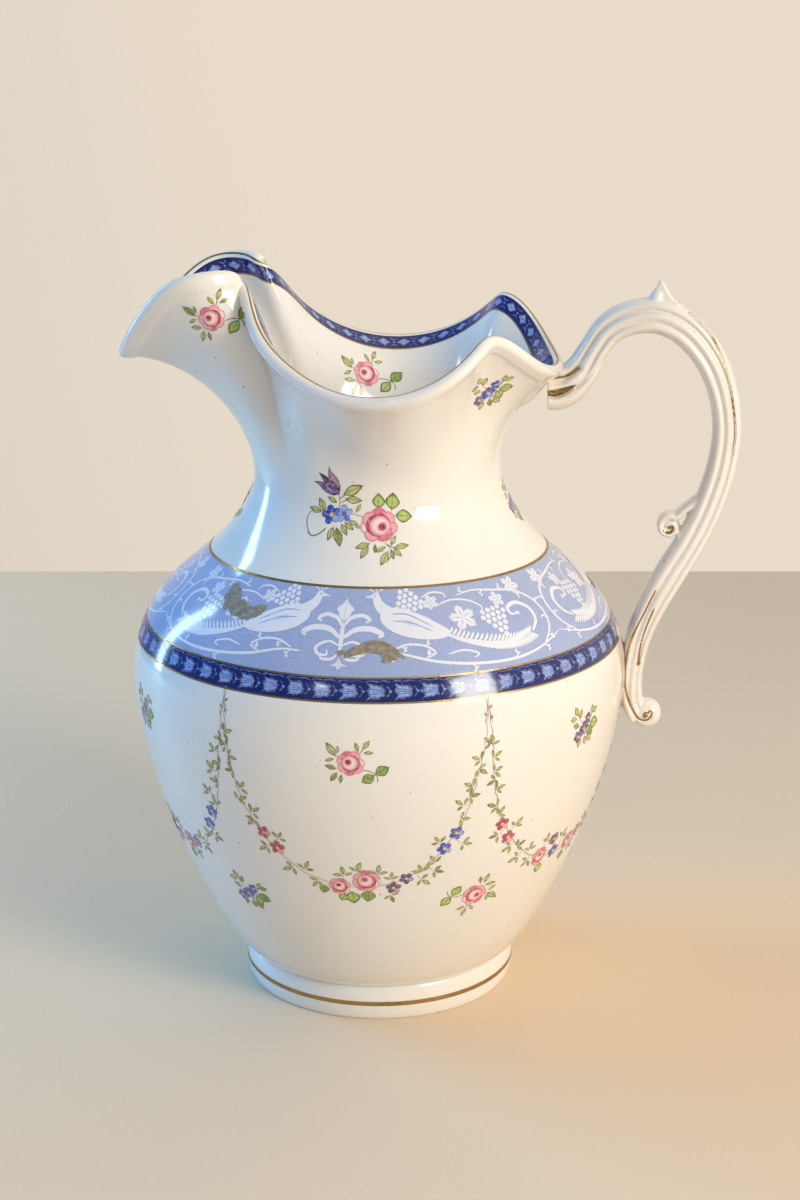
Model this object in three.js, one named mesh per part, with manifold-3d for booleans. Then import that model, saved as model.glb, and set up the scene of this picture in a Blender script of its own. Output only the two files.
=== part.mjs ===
// Glazed earthenware water jug: turned foot, round body, flared neck with a waved rim
// and a long pouring lip, and a scrolled strap handle. Millimetres, +Z up. The foot
// stands on z = 0, the handle is on the +X side, the pouring lip on the -X side, and
// the origin is under the middle of the whole jug, so the body's own axis is beside it.
import * as THREE from "three";
import { mergeVertices } from "three/addons/utils/BufferGeometryUtils.js";
import Module from "manifold-3d";

const wasm = await Module();
wasm.setup();

// ---------------------------------------------------------------- driving sizes
const bodyAxisX = -19.5; // the body's axis, from the origin
const wall = 4; // wall thickness of body and neck
const gap = 0.3; // clearance between neighbouring pieces
const jointLayer = 1.2; // thickness of the slip that fixes the handle

const footRadius = 54.7; // widest, at half its height
const footContactRadius = 53.0; // outer edge of the face it stands on
const footInnerRadius = 46.0;
const footHeight = 13.8;
const recessHeight = 4.0; // underside of the base, above the table
const floorHeight = 10.0; // inside of the base

const bellyRadius = 97.3;
const bellyHeight = 129.0; // height of the widest point
const neckJointRadius = 66.2; // where neck and shoulder meet
const neckJointHeight = 179.3;
const waistRadius = 47.4; // narrowest part of the neck
const waistHeight = 213.0;
const jointStraight = 1.5; // both sides of the joint are straight and at 45 degrees this far

const bodySegments = 48; // facets round the axis
const rimStepsPerSpan = 2; // facets between two rim stations

// ---------------------------------------------------------------- curve helpers
const lerp = (a, b, t) => a + (b - a) * t;

// Point on a cubic Bezier curve; each point is an array of coordinates.
function bezier(p, t) {
  const s = 1 - t;
  const weights = [s * s * s, 3 * s * s * t, 3 * s * t * t, t * t * t];
  return p[0].map((_, axis) =>
    weights.reduce((sum, w, i) => sum + w * p[i][axis], 0),
  );
}

// n + 1 points on a cubic Bezier curve from parameter `from` to parameter `to`.
function bezierPoints(p, n, from = 0, to = 1) {
  return Array.from({ length: n + 1 }, (_, i) => bezier(p, lerp(from, to, i / n)));
}

// Weights of four neighbours on a uniform cubic B-spline, `t` of the way from the second
// to the third.
function splineWeights(t) {
  return [
    (1 - t) ** 3 / 6,
    (3 * t ** 3 - 6 * t ** 2 + 4) / 6,
    (-3 * t ** 3 + 3 * t ** 2 + 3 * t + 1) / 6,
    t ** 3 / 6,
  ];
}

// The (r, z) points of an outline, each moved by `distance` to the left of its direction.
function offsetOutline(points, distance) {
  return points.map(([r, z], i) => {
    const before = points[Math.max(i - 1, 0)];
    const after = points[Math.min(i + 1, points.length - 1)];
    const dr = after[0] - before[0];
    const dz = after[1] - before[1];
    const length = Math.hypot(dr, dz);
    return [r - (dz / length) * distance, z + (dr / length) * distance];
  });
}

// ---------------------------------------------------------------- solid helpers
// A closed triangle surface, turned so that its faces point out.
function closedGeometry(points, triangles) {
  const position = new Float32Array(points.flat());
  const v = (i) => new THREE.Vector3().fromArray(position, 3 * i);
  const volume = triangles.reduce(
    (sum, [a, b, c]) => sum + v(a).dot(v(b).cross(v(c))) / 6,
    0,
  );
  const facing = volume < 0 ? triangles.map(([a, b, c]) => [a, c, b]) : triangles;
  const geometry = new THREE.BufferGeometry();
  geometry.setAttribute("position", new THREE.BufferAttribute(position, 3));
  geometry.setIndex(facing.flat());
  geometry.computeVertexNormals();
  return geometry;
}

// Triangles between neighbouring loops of `size` points, the first loop at index 0.
function bands(loopPairs, size) {
  return loopPairs.flatMap(([a, b]) =>
    Array.from({ length: size }, (_, i) => {
      const j = (i + 1) % size;
      return [
        [a * size + i, a * size + j, b * size + j],
        [a * size + i, b * size + j, b * size + i],
      ];
    }).flat(),
  );
}

// Loops stacked one after another, closed at both ends by a fan round an end point.
function stackGeometry(loops, firstEnd, lastEnd) {
  const size = loops[0].length;
  const last = loops.length - 1;
  const points = [...loops.flat(), firstEnd, lastEnd];
  const pairs = Array.from({ length: last }, (_, i) => [i, i + 1]);
  const fans = Array.from({ length: size }, (_, i) => {
    const j = (i + 1) % size;
    return [
      [points.length - 2, j, i],
      [points.length - 1, last * size + i, last * size + j],
    ];
  }).flat();
  return closedGeometry(points, [...bands(pairs, size), ...fans]);
}

// Loops that go round and meet again, as on a ring.
function ringGeometry(loops) {
  const pairs = loops.map((_, i) => [i, (i + 1) % loops.length]);
  return closedGeometry(loops.flat(), bands(pairs, loops[0].length));
}

// A turned shape; its (r, z) outline starts and ends on the axis or closes on itself.
function turned(outline, segments = bodySegments) {
  const points = outline.map(([r, z]) => new THREE.Vector2(r, z));
  const geometry = new THREE.LatheGeometry(points, segments);
  geometry.rotateX(Math.PI / 2);
  return geometry;
}

function toSolid(geometry) {
  const bare = new THREE.BufferGeometry();
  bare.setAttribute("position", geometry.getAttribute("position"));
  bare.setIndex(geometry.getIndex());
  const merged = mergeVertices(bare, 1e-4);
  return new wasm.Manifold(
    new wasm.Mesh({
      numProp: 3,
      vertProperties: merged.getAttribute("position").array,
      triVerts: new Uint32Array(merged.getIndex().array),
    }),
  );
}

function toGeometry(solid) {
  const mesh = solid.getMesh();
  const geometry = new THREE.BufferGeometry();
  geometry.setAttribute("position", new THREE.BufferAttribute(mesh.vertProperties, 3));
  geometry.setIndex(new THREE.BufferAttribute(mesh.triVerts, 1));
  geometry.computeVertexNormals();
  return geometry;
}

// ---------------------------------------------------------------- foot
// Flat underneath, a half-round bead outside, and a plain bore for the base of the body.
function footGeometry() {
  const beadSteps = 6;
  const bead = Array.from({ length: beadSteps + 1 }, (_, i) => {
    const angle = lerp(-Math.PI / 2, Math.PI / 2, i / beadSteps);
    const bulge = footRadius - footContactRadius;
    return [
      footContactRadius + bulge * Math.cos(angle),
      (footHeight / 2) * (1 + Math.sin(angle)),
    ];
  });
  const bore = [
    [footInnerRadius, footHeight],
    [footInnerRadius, 0],
  ];
  return turned([bore[1], ...bead, ...bore]);
}

// ---------------------------------------------------------------- body
const bodyFoot = [footContactRadius + 0.8, footHeight + gap]; // lower end of its outline
const bellySteps = 9;
const shoulderSteps = 7;

// A point on the straight stretch below the neck joint, `distance` down the shoulder.
function belowJoint(distance) {
  const step = distance * Math.SQRT1_2;
  return [neckJointRadius + step, neckJointHeight - step];
}

// Outside of the body from the foot up to the neck joint, as (r, z) points.
function bodyOutline() {
  const belly = [
    bodyFoot,
    [65, 20.8],
    [bellyRadius, bellyHeight - 40],
    [bellyRadius, bellyHeight],
  ];
  const shoulder = [
    [bellyRadius, bellyHeight],
    [bellyRadius, bellyHeight + 30],
    belowJoint(13),
    belowJoint(jointStraight),
  ];
  return [
    ...bezierPoints(belly, bellySteps),
    ...bezierPoints(shoulder, shoulderSteps).slice(1),
    belowJoint(gap),
  ];
}

function bodyGeometry() {
  const coveHeight = 6; // the inside rounds into the floor below this
  const outside = bodyOutline();
  const inside = offsetOutline(outside, wall).filter(([, z]) => z > floorHeight + coveHeight);
  const spigotRadius = footInnerRadius - gap;
  return turned([
    [0, recessHeight],
    [spigotRadius, recessHeight],
    [spigotRadius, footHeight + gap],
    ...outside,
    ...inside.reverse(),
    [spigotRadius - 1, floorHeight],
    [0, floorHeight],
  ]);
}

// ---------------------------------------------------------------- neck, rim and lip
// Stations round the waved rim, from the tip of the pouring lip to the handle on one
// side; the other side mirrors them. Each gives the middle of the wall at the rim:
// angle of its foot on the neck (degrees from the lip), x, y, z of the rim, the slope
// of the wall there (degrees) and how far the wall keeps that slope.
const rimStations = [
  [0, -98.9, 0, 253.5, -4, 36],
  [8, -97, 9.5, 255, 3, 35],
  [16, -91, 19, 265, 20, 33],
  [25, -82, 28.5, 275.5, 40, 32],
  [33, -73, 35.5, 284.5, 52, 31],
  [41, -62, 36.5, 287, 62, 30],
  [48, -52, 29.5, 287.5, 68, 30],
  [54, -48, 24, 284, 70, 30],
  [60, -44, 37, 277.5, 60, 28],
  [67, -38.5, 49.5, 265, 50, 26],
  [78, -23.5, 59, 254, 40, 24],
  [92, -6, 70.5, 247.5, 34, 24],
  [108, 16.5, 74.5, 248.5, 32, 24],
  [122, 33.5, 72.5, 257, 36, 25],
  [131, 42.5, 64, 266, 42, 27],
  [138, 45.5, 56, 270, 45, 28],
  [145, 52.5, 50.5, 266.5, 42, 27],
  [153, 60, 41.5, 258.5, 36, 26],
  [165, 65.5, 24, 252, 31, 26],
  [180, 70, 0, 249.5, 29, 26],
];
const mirroredStations = rimStations
  .slice(1, -1)
  .map(([angle, x, y, ...rest]) => [360 - angle, x, -y, ...rest])
  .reverse();
const stationRing = [...rimStations, ...mirroredStations];
const stationCount = stationRing.length;

// The lower neck is turned: middle of its wall from the joint up to the waist.
const halfWall = wall / 2;
const joinInset = halfWall * Math.SQRT1_2; // from the outside to the middle of the wall
const neckFoot = [neckJointRadius - joinInset, neckJointHeight - joinInset];
const straightStep = jointStraight * Math.SQRT1_2;
const lowerNeck = [
  [neckFoot[0] - straightStep, neckFoot[1] + straightStep],
  [neckFoot[0] - 8.5, neckFoot[1] + 8.5],
  [waistRadius - halfWall, waistHeight - 14],
  [waistRadius - halfWall, waistHeight],
];
const turnedShare = 0.72; // the part of that curve that is still round
const turnedSteps = 4;
const flaredSteps = 7;
const sideRise = 15; // how far the wall runs straight on above the turned part
const lipRise = 19; // the same under the pouring lip

// The rim at station u, smoothed round the ring. Angles run on where the ring closes.
function rimAt(u) {
  const i = Math.floor(u);
  const near = [-1, 0, 1, 2].map((k) => {
    const turns = Math.floor((i + k) / stationCount);
    const [angle, ...rest] = stationRing[i + k - turns * stationCount];
    return [angle + 360 * turns, ...rest];
  });
  const weights = splineWeights(u - i);
  return near[0].map((_, axis) =>
    weights.reduce((sum, w, k) => sum + w * near[k][axis], 0),
  );
}

// Middle of the neck's wall above station u, from the joint to the rim.
function neckLine(u) {
  const [angle, x, y, z, slope, reach] = rimAt(u);
  const around = THREE.MathUtils.degToRad(angle);
  const place = ([r, height]) => [-r * Math.cos(around), r * Math.sin(around), height];
  const turnedPart = bezierPoints(lowerNeck, turnedSteps, 0, turnedShare);
  const lower = [neckFoot, ...turnedPart].map(place);
  const start = lower[lower.length - 1];
  const ahead = place(bezier(lowerNeck, turnedShare + 0.01));
  const direction = new THREE.Vector3(...ahead).sub(new THREE.Vector3(...start)).normalize();
  const rise = lerp(sideRise, lipRise, Math.max(0, Math.cos(around)));
  const middle = direction.multiplyScalar(rise).add(new THREE.Vector3(...start));
  const rim = new THREE.Vector3(x, y, z);
  const outward = new THREE.Vector3(x - middle.x, y - middle.y, 0).normalize();
  const tilt = THREE.MathUtils.degToRad(slope);
  const flare = outward.multiplyScalar(Math.cos(tilt)).setZ(Math.sin(tilt));
  const below = rim.clone().addScaledVector(flare, -reach);
  const upper = [start, middle.toArray(), below.toArray(), rim.toArray()];
  return [...lower.slice(0, -1), ...bezierPoints(upper, flaredSteps)];
}

// The wall's middle surface as a grid [station][height], and its outward normals.
function neckSurface() {
  const count = stationCount * rimStepsPerSpan;
  const rows = Array.from({ length: count }, (_, i) => neckLine(i / rimStepsPerSpan));
  const v = (i, j) => new THREE.Vector3(...rows[(i + count) % count][j]);
  const top = rows[0].length - 1;
  const normals = rows.map((row, i) =>
    row.map((_, j) => {
      const up = v(i, Math.min(j + 1, top)).sub(v(i, Math.max(j - 1, 0)));
      const along = v(i - 1, j).sub(v(i + 1, j));
      return along.cross(up).normalize();
    }),
  );
  return { rows, normals };
}

const neck = neckSurface();

function offsetNeckPoint(i, j, distance, lift = 0) {
  const top = neck.rows[i].length - 1;
  const end = new THREE.Vector3(...neck.rows[i][top]);
  const rimDirection = end.sub(new THREE.Vector3(...neck.rows[i][top - 1])).normalize();
  return new THREE.Vector3(...neck.rows[i][j])
    .addScaledVector(neck.normals[i][j], distance)
    .addScaledVector(rimDirection, lift)
    .toArray();
}

// The wall with a half-round rim: one closed section for each step round the neck.
function neckGeometry() {
  const capSteps = 4;
  const sections = neck.rows.map((row, i) => {
    const top = row.length - 1;
    const outside = row.map((_, j) => offsetNeckPoint(i, j, halfWall));
    const inside = row.map((_, j) => offsetNeckPoint(i, j, -halfWall));
    const cap = Array.from({ length: capSteps - 1 }, (_, k) => {
      const angle = (Math.PI * (k + 1)) / capSteps;
      return offsetNeckPoint(i, top, halfWall * Math.cos(angle), halfWall * Math.sin(angle));
    });
    return [...outside, ...cap, ...inside.reverse()];
  });
  return ringGeometry(sections);
}

// Everything inside a surface that stands `distance` outside the neck, closed by cones
// whose points are well below the joint and well above the rim.
function neckPlug(distance) {
  const lowPoint = [0, 0, neckJointHeight - 20];
  const highPoint = [0, 0, 330];
  const reach = halfWall + distance;
  const top = neck.rows[0].length - 1;
  const loops = neck.rows[0].map((_, j) =>
    neck.rows.map((_, i) => offsetNeckPoint(i, j, reach, j === top ? reach : 0)),
  );
  return toSolid(stackGeometry(loops, lowPoint, highPoint));
}

// The same for the body.
function bodyPlug(distance) {
  const outline = offsetOutline(bodyOutline(), -distance);
  const first = outline[0];
  const last = outline[outline.length - 1];
  return toSolid(turned([[0, first[1]], ...outline, [0, last[1]]]));
}

// ---------------------------------------------------------------- handle
// Stations along the handle from the neck to the lower curl: x, z, half depth (in the
// plane of the handle) and half width.
const handleStations = [
  [57, 245.5, 7.6, 7.4],
  [62, 242.6, 8.2, 7.6],
  [67.5, 241.6, 8.8, 7.8],
  [73, 243.8, 7.6, 8],
  [78.3, 249.6, 6.6, 8],
  [82.5, 257.4, 5.8, 8],
  [88, 265.2, 6.1, 8.2],
  [96.5, 269.6, 6.6, 8.4],
  [106.5, 270.2, 6.8, 8.4],
  [116.5, 265.6, 6.6, 8.2],
  [125.2, 256, 6.2, 8],
  [131, 243.5, 5.8, 7.8],
  [133.6, 228.5, 5.6, 7.6],
  [132.2, 213, 5.7, 7.4],
  [128, 198, 5.9, 7.2],
  [121.8, 183.5, 5.9, 7],
  [114.5, 170.5, 6.2, 6.8],
  [107.8, 157.5, 5.8, 6.8],
  [102.9, 144.5, 5.1, 7],
  [100.6, 131, 4.5, 7.2],
  [100.6, 119, 4.5, 6.6],
  [103.5, 110.5, 4.2, 5.8],
];

// Half of the strap's section: depth share (-1 inside, 1 back) and width share. Two
// beads with a shallow hollow between them, a deeper groove, then the back ridge.
const sectionHalf = [
  [-1, 0.4],
  [-0.78, 0.92],
  [-0.52, 1],
  [-0.28, 0.86],
  [0.04, 1],
  [0.4, 0.66],
  [0.66, 0.74],
  [1, 0.36],
];

function handleLoop(curve, t) {
  const sizes = curve.sizes.getPoint(t);
  const centre = curve.centre.getPoint(t);
  const direction = curve.centre.getTangent(t);
  const back = new THREE.Vector3(-direction.z, 0, direction.x);
  const side = (sign) =>
    sectionHalf.map(([depth, width]) =>
      centre
        .clone()
        .addScaledVector(back, depth * sizes.x)
        .setY(sign * width * sizes.y)
        .toArray(),
    );
  return [...side(1), ...side(-1).reverse()];
}

// A round scroll across the handle, with softened edges.
function scroll(x, z, radius, halfWidth) {
  const edge = radius * 0.3;
  const geometry = turned(
    [
      [0, -halfWidth],
      [radius - edge, -halfWidth],
      [radius, -halfWidth + edge],
      [radius, halfWidth - edge],
      [radius - edge, halfWidth],
      [0, halfWidth],
    ],
    16,
  );
  geometry.rotateX(Math.PI / 2);
  geometry.translate(x, 0, z);
  return toSolid(geometry);
}

// The pointed leaf on top of the bend, which the thumb rests against.
function thumbSpur() {
  const thickness = 5;
  const outline = new THREE.Shape();
  outline.moveTo(99, 272);
  outline.lineTo(102.5, 277.5);
  outline.quadraticCurveTo(105.6, 278.5, 106, 283.2);
  outline.lineTo(108.2, 283);
  outline.quadraticCurveTo(110, 278.5, 116.5, 273.5);
  outline.lineTo(119, 267);
  const geometry = new THREE.ExtrudeGeometry(outline, {
    depth: thickness,
    bevelEnabled: false,
    curveSegments: 5,
  });
  geometry.rotateX(Math.PI / 2);
  geometry.translate(0, thickness / 2, 0);
  return toSolid(geometry);
}

function strapSolid() {
  const steps = 52;
  const centre = new THREE.CatmullRomCurve3(
    handleStations.map(([x, z]) => new THREE.Vector3(x, 0, z)),
  );
  const sizes = new THREE.CatmullRomCurve3(
    handleStations.map(([, , depth, width]) => new THREE.Vector3(depth, width, 0)),
  );
  const loops = Array.from({ length: steps + 1 }, (_, i) =>
    handleLoop({ centre, sizes }, i / steps),
  );
  const ends = [centre.getPoint(0), centre.getPoint(1)].map((p) => p.toArray());
  return toSolid(stackGeometry(loops, ends[0], ends[1]));
}

function handleGeometry() {
  const clearance = gap + jointLayer + gap;
  const innerVolute = scroll(113.6, 188.6, 4.6, 5.2);
  const lowerCurl = scroll(106.6, 112.4, 5.9, 5.6);
  const whole = strapSolid().add(innerVolute).add(lowerCurl).add(thumbSpur());
  return toGeometry(whole.subtract(neckPlug(clearance)).subtract(bodyPlug(clearance)));
}

// ---------------------------------------------------------------- slip joints
// An oval bar along +X that starts at `x`, and cuts the patch of slip out of its layer.
function ovalBar(x, height, halfWidth, halfHeight) {
  const length = 40;
  const shape = new THREE.Shape();
  shape.absellipse(0, height, halfWidth, halfHeight, 0, 2 * Math.PI);
  const geometry = new THREE.ExtrudeGeometry(shape, {
    depth: length,
    bevelEnabled: false,
    curveSegments: 10,
  });
  geometry.rotateX(Math.PI / 2);
  geometry.rotateZ(Math.PI / 2);
  geometry.translate(x, 0, 0);
  return toSolid(geometry);
}

function upperJointGeometry() {
  const bar = ovalBar(40, 242.4, 8.6, 7.6);
  return toGeometry(bar.intersect(neckPlug(gap + jointLayer)).subtract(neckPlug(gap)));
}

function lowerJointGeometry() {
  const bar = ovalBar(80, 129, 7.4, 18.5);
  return toGeometry(bar.intersect(bodyPlug(gap + jointLayer)).subtract(bodyPlug(gap)));
}

// ---------------------------------------------------------------- assembly
const glaze = { metalness: 0, roughness: 0.14 };
const pieces = [
  ["foot_ring", footGeometry, { color: 0xf1ebe0, ...glaze }],
  ["body", bodyGeometry, { color: 0xf3eee6, ...glaze }],
  ["neck_and_spout", neckGeometry, { color: 0xf5f1ea, ...glaze }],
  ["handle", handleGeometry, { color: 0xefe9df, ...glaze }],
  ["upper_handle_joint", upperJointGeometry, { color: 0xe9e2d6, metalness: 0, roughness: 0.3 }],
  ["lower_handle_joint", lowerJointGeometry, { color: 0xe9e2d6, metalness: 0, roughness: 0.3 }],
];

const jug = new THREE.Group();
jug.position.x = bodyAxisX;
for (const [name, makeGeometry, look] of pieces) {
  const mesh = new THREE.Mesh(makeGeometry(), new THREE.MeshStandardMaterial(look));
  mesh.name = name;
  jug.add(mesh);
}

const part = new THREE.Group();
part.add(jug);
export default part;
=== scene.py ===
"""Glazed earthenware water jug with printed, enamelled and gilt decoration, in Blender.

Sizes are in millimetres in the jug's own frame: the body's axis is x = 0, +Z is up, the
handle is on the +X side and the pouring lip on the -X side. A place on the round body is
an angle from the -Y side towards +X, in degrees, and a length along the outline from the
foot.
"""

import math
import random

import bmesh
import bpy
import numpy as np
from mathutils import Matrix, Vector
from mathutils.bvhtree import BVHTree


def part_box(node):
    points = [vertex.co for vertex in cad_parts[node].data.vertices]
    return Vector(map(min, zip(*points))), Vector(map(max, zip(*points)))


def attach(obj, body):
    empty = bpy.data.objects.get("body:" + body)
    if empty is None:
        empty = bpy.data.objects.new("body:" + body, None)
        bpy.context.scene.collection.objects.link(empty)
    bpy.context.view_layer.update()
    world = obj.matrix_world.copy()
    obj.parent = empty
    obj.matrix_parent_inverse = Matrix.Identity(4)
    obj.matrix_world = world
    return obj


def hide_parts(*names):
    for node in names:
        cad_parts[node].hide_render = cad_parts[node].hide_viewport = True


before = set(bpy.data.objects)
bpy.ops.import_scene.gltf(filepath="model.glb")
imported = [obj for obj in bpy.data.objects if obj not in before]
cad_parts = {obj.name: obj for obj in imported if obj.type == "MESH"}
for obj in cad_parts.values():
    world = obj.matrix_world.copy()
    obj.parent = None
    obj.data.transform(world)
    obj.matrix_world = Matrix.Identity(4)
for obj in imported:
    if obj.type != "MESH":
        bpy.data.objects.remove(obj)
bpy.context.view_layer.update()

MM = 0.001
foot_low, foot_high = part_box("foot_ring")
AXIS_X = (foot_low.x + foot_high.x) / 2 / MM

# ---------------------------------------------------------------- sizes of the vessel
WALL = 4.0
HALF_WALL = WALL / 2
FOOT_RADIUS = 54.7
FOOT_CONTACT_RADIUS = 53.0
FOOT_INNER_RADIUS = 46.0
FOOT_HEIGHT = 14.1
RECESS_HEIGHT = 4.0
FLOOR_HEIGHT = 12.5
COVE_TOP = 29.0  # the inside rounds into the floor below this
COVE_PULL = 9.0  # how far the cove keeps the slope of the wall
COVE_FLAT, COVE_BEND = 28.0, 42.0  # radii where the cove leaves the floor and turns up
FOOT_EDGE = 0.8  # bevel round the inside of the foot
BELLY_RADIUS = 97.3
BELLY_HEIGHT = 129.0
NECK_JOINT_RADIUS = 66.2
NECK_JOINT_HEIGHT = 179.3
WAIST_RADIUS = 47.4
WAIST_HEIGHT = 213.0
JOINT_STRAIGHT = 1.5
ROOT_HALF = math.sqrt(0.5)


# ---------------------------------------------------------------- curves
def bezier(p, t):
    """Points on a cubic Bezier curve at the parameters t."""
    t = np.asarray(t, float)[..., None]
    p = np.asarray(p, float)
    s = 1 - t
    return s**3 * p[0] + 3 * s**2 * t * p[1] + 3 * s * t**2 * p[2] + t**3 * p[3]


def through(points, steps, closed=False):
    """A smooth (Catmull-Rom) line through the points, with `steps` pieces to each span."""
    p = np.asarray(points, float)
    if closed:
        p = np.vstack([p[-1], p, p[0], p[1]])
    else:
        p = np.vstack([2 * p[0] - p[1], p, 2 * p[-1] - p[-2]])
    t = (np.arange(steps) / steps)[:, None]
    line = []
    for a, b, c, d in zip(p, p[1:], p[2:], p[3:]):
        straight = 2 * b + (c - a) * t
        bend = (2 * a - 5 * b + 4 * c - d) * t**2 + (3 * b - a - 3 * c + d) * t**3
        line.append((straight + bend) / 2)
    line = np.vstack(line)
    return line if closed else np.vstack([line, p[-2]])


def smoothstep(x):
    x = np.clip(x, 0, 1)
    return x * x * (3 - 2 * x)


def lengths_along(points):
    steps = np.linalg.norm(np.diff(points, axis=0), axis=1)
    return np.concatenate([[0], np.cumsum(steps)])


# ---------------------------------------------------------------- mesh helpers
def new_piece(name, points, faces, material, smooth_angle=55.0):
    """A mesh object from millimetre points in the jug's frame."""
    row_points = (np.asarray(points, float) + [AXIS_X, 0, 0]) * MM
    mesh = bpy.data.meshes.new(name)
    mesh.from_pydata(row_points.tolist(), [], [tuple(f) for f in faces])
    mesh.validate()
    mesh.shade_smooth()
    mesh.set_sharp_from_angle(angle=math.radians(smooth_angle))
    mesh.materials.append(material)
    piece = bpy.data.objects.new(name, mesh)
    bpy.context.scene.collection.objects.link(piece)
    return piece


def grid_faces(rows, columns, close_rows=False, close_columns=False):
    """Quads of a grid of points stored row by row."""
    faces = []
    for i in range(rows if close_rows else rows - 1):
        for j in range(columns if close_columns else columns - 1):
            i2, j2 = (i + 1) % rows, (j + 1) % columns
            faces.append((i * columns + j, i * columns + j2, i2 * columns + j2, i2 * columns + j))
    return faces


def turned(outline, segments=256):
    """Points and faces of an (r, z) outline turned round the axis, anticlockwise outside."""
    angles = np.linspace(0, 2 * math.pi, segments, endpoint=False)
    on_axis = outline[0][0] == 0
    rings = [p for p in outline if p[0] > 0]
    points = [[r * math.cos(a), r * math.sin(a), z] for r, z in rings for a in angles]
    faces = grid_faces(len(rings), segments, not on_axis, True)
    if on_axis:
        first, last = len(points), len(points) + 1
        top = (len(rings) - 1) * segments
        points += [[0, 0, outline[0][1]], [0, 0, outline[-1][1]]]
        faces += [(first, (j + 1) % segments, j) for j in range(segments)]
        faces += [(last, top + j, top + (j + 1) % segments) for j in range(segments)]
    return points, faces


def finished(piece, slot, *nodes):
    """Hangs a piece on the root and hides the CAD nodes it stands for; its material slot is not used."""
    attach(piece, "root")
    if nodes:
        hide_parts(*nodes)
    return piece


# ---------------------------------------------------------------- materials
def srgb(red, green, blue):
    """A linear colour from the usual 0 to 255 values."""
    def linear(c):
        c /= 255
        return c / 12.92 if c <= 0.04045 else ((c + 0.055) / 1.055) ** 2.4

    return (linear(red), linear(green), linear(blue), 1.0)


class Look:
    """A material built from nodes round one Principled shader."""

    def __init__(self, name, **sockets):
        self.material = bpy.data.materials.new(name)
        self.material.use_nodes = True
        self.tree = self.material.node_tree
        self.shader = self.tree.nodes["Principled BSDF"]
        for socket, value in sockets.items():
            self.shader.inputs[socket.replace("_", " ")].default_value = value
        self.place = self.add("ShaderNodeTexCoord").outputs["Object"]

    def add(self, kind, **settings):
        node = self.tree.nodes.new(kind)
        for key, value in settings.items():
            if key in node.inputs:
                node.inputs[key].default_value = value
            else:
                setattr(node, key, value)
        return node

    def link(self, output, target):
        self.tree.links.new(output, target)

    def noise(self, scale, detail=2.0, roughness=0.5):
        node = self.add("ShaderNodeTexNoise", Scale=scale, Detail=detail, Roughness=roughness)
        self.link(self.place, node.inputs["Vector"])
        return node.outputs["Fac"]

    def ramp(self, value, low, high, low_value=0.0, high_value=1.0):
        node = self.add("ShaderNodeMapRange")
        for name, number in zip(
            ("From Min", "From Max", "To Min", "To Max"), (low, high, low_value, high_value)
        ):
            node.inputs[name].default_value = number
        self.link(value, node.inputs["Value"])
        return node.outputs["Result"]

    def mix(self, factor, first, second):
        node = self.add("ShaderNodeMix", data_type="RGBA")
        self.link(factor, node.inputs[0])
        for socket, value in ((node.inputs[6], first), (node.inputs[7], second)):
            if isinstance(value, tuple):
                socket.default_value = value
            else:
                self.link(value, socket)
        return node.outputs[2]

    def bump(self, height, strength, distance):
        node = self.add("ShaderNodeBump", Strength=strength, Distance=distance)
        self.link(height, node.inputs["Height"])
        self.link(node.outputs["Normal"], self.shader.inputs["Normal"])

    def output(self, value, socket):
        self.link(value, self.shader.inputs[socket])

    def roughness(self, scale, detail, low, high):
        self.output(self.ramp(self.noise(scale, detail), 0.3, 0.7, low, high), "Roughness")


def glaze_look(name, base, pooled, speck=srgb(120, 92, 66)):
    """Clear glaze on a warm white body: slow tint changes, faint waves and rare specks."""
    look = Look(name, IOR=1.52, Coat_Weight=0.35, Coat_Roughness=0.04)
    tint = look.mix(look.ramp(look.noise(9, 3), 0.35, 0.7), base, pooled)
    specks = look.ramp(look.noise(800, 0), 0.875, 0.9)
    look.output(look.mix(specks, tint, speck), "Base Color")
    look.roughness(60, 4, 0.09, 0.16)
    look.bump(look.noise(38, 2), 0.12, 0.0006)
    return look.material


def print_look(name, base, faded, size):
    """Under-glaze print: a stippled, slightly uneven colour under clear glaze."""
    look = Look(name, IOR=1.52, Coat_Weight=0.4, Coat_Roughness=0.05)
    fine = look.ramp(look.noise(size, 3, 0.7), 0.35, 0.7)
    coarse = look.ramp(look.noise(28, 2), 0.35, 0.75, 0.0, 0.6)
    stipple = look.mix(fine, base, faded)
    look.output(look.mix(coarse, stipple, base), "Base Color")
    look.roughness(70, 3, 0.1, 0.2)
    look.bump(look.noise(38, 2), 0.1, 0.0006)
    return look.material


def painted_look(name, rough_low, rough_high, wash):
    """Hand-painted colour: each shape's own tint, broken up by the brush."""
    look = Look(name, IOR=1.5, Coat_Weight=0.3, Coat_Roughness=0.08)
    tint = look.add("ShaderNodeAttribute", attribute_name="tint").outputs["Color"]
    brush = look.ramp(look.noise(900, 2, 0.6), 0.45, 0.75, 0.0, 0.35)
    look.output(look.mix(brush, tint, wash), "Base Color")
    look.roughness(500, 2, rough_low, rough_high)
    look.bump(look.noise(1300, 2), 0.15, 0.0002)
    return look.material


def gilt_look():
    """Burnished gold over glaze, rubbed thin in places."""
    look = Look("gilding", Specular_IOR_Level=0.5)
    rubbed = look.ramp(look.noise(160, 4, 0.7), 0.55, 0.68)
    look.output(look.mix(rubbed, srgb(178, 146, 92), srgb(140, 112, 78)), "Base Color")
    look.output(look.ramp(rubbed, 0, 1, 0.95, 0.55), "Metallic")
    look.roughness(420, 3, 0.22, 0.42)
    look.bump(look.noise(900, 2), 0.2, 0.0002)
    return look.material


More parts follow.
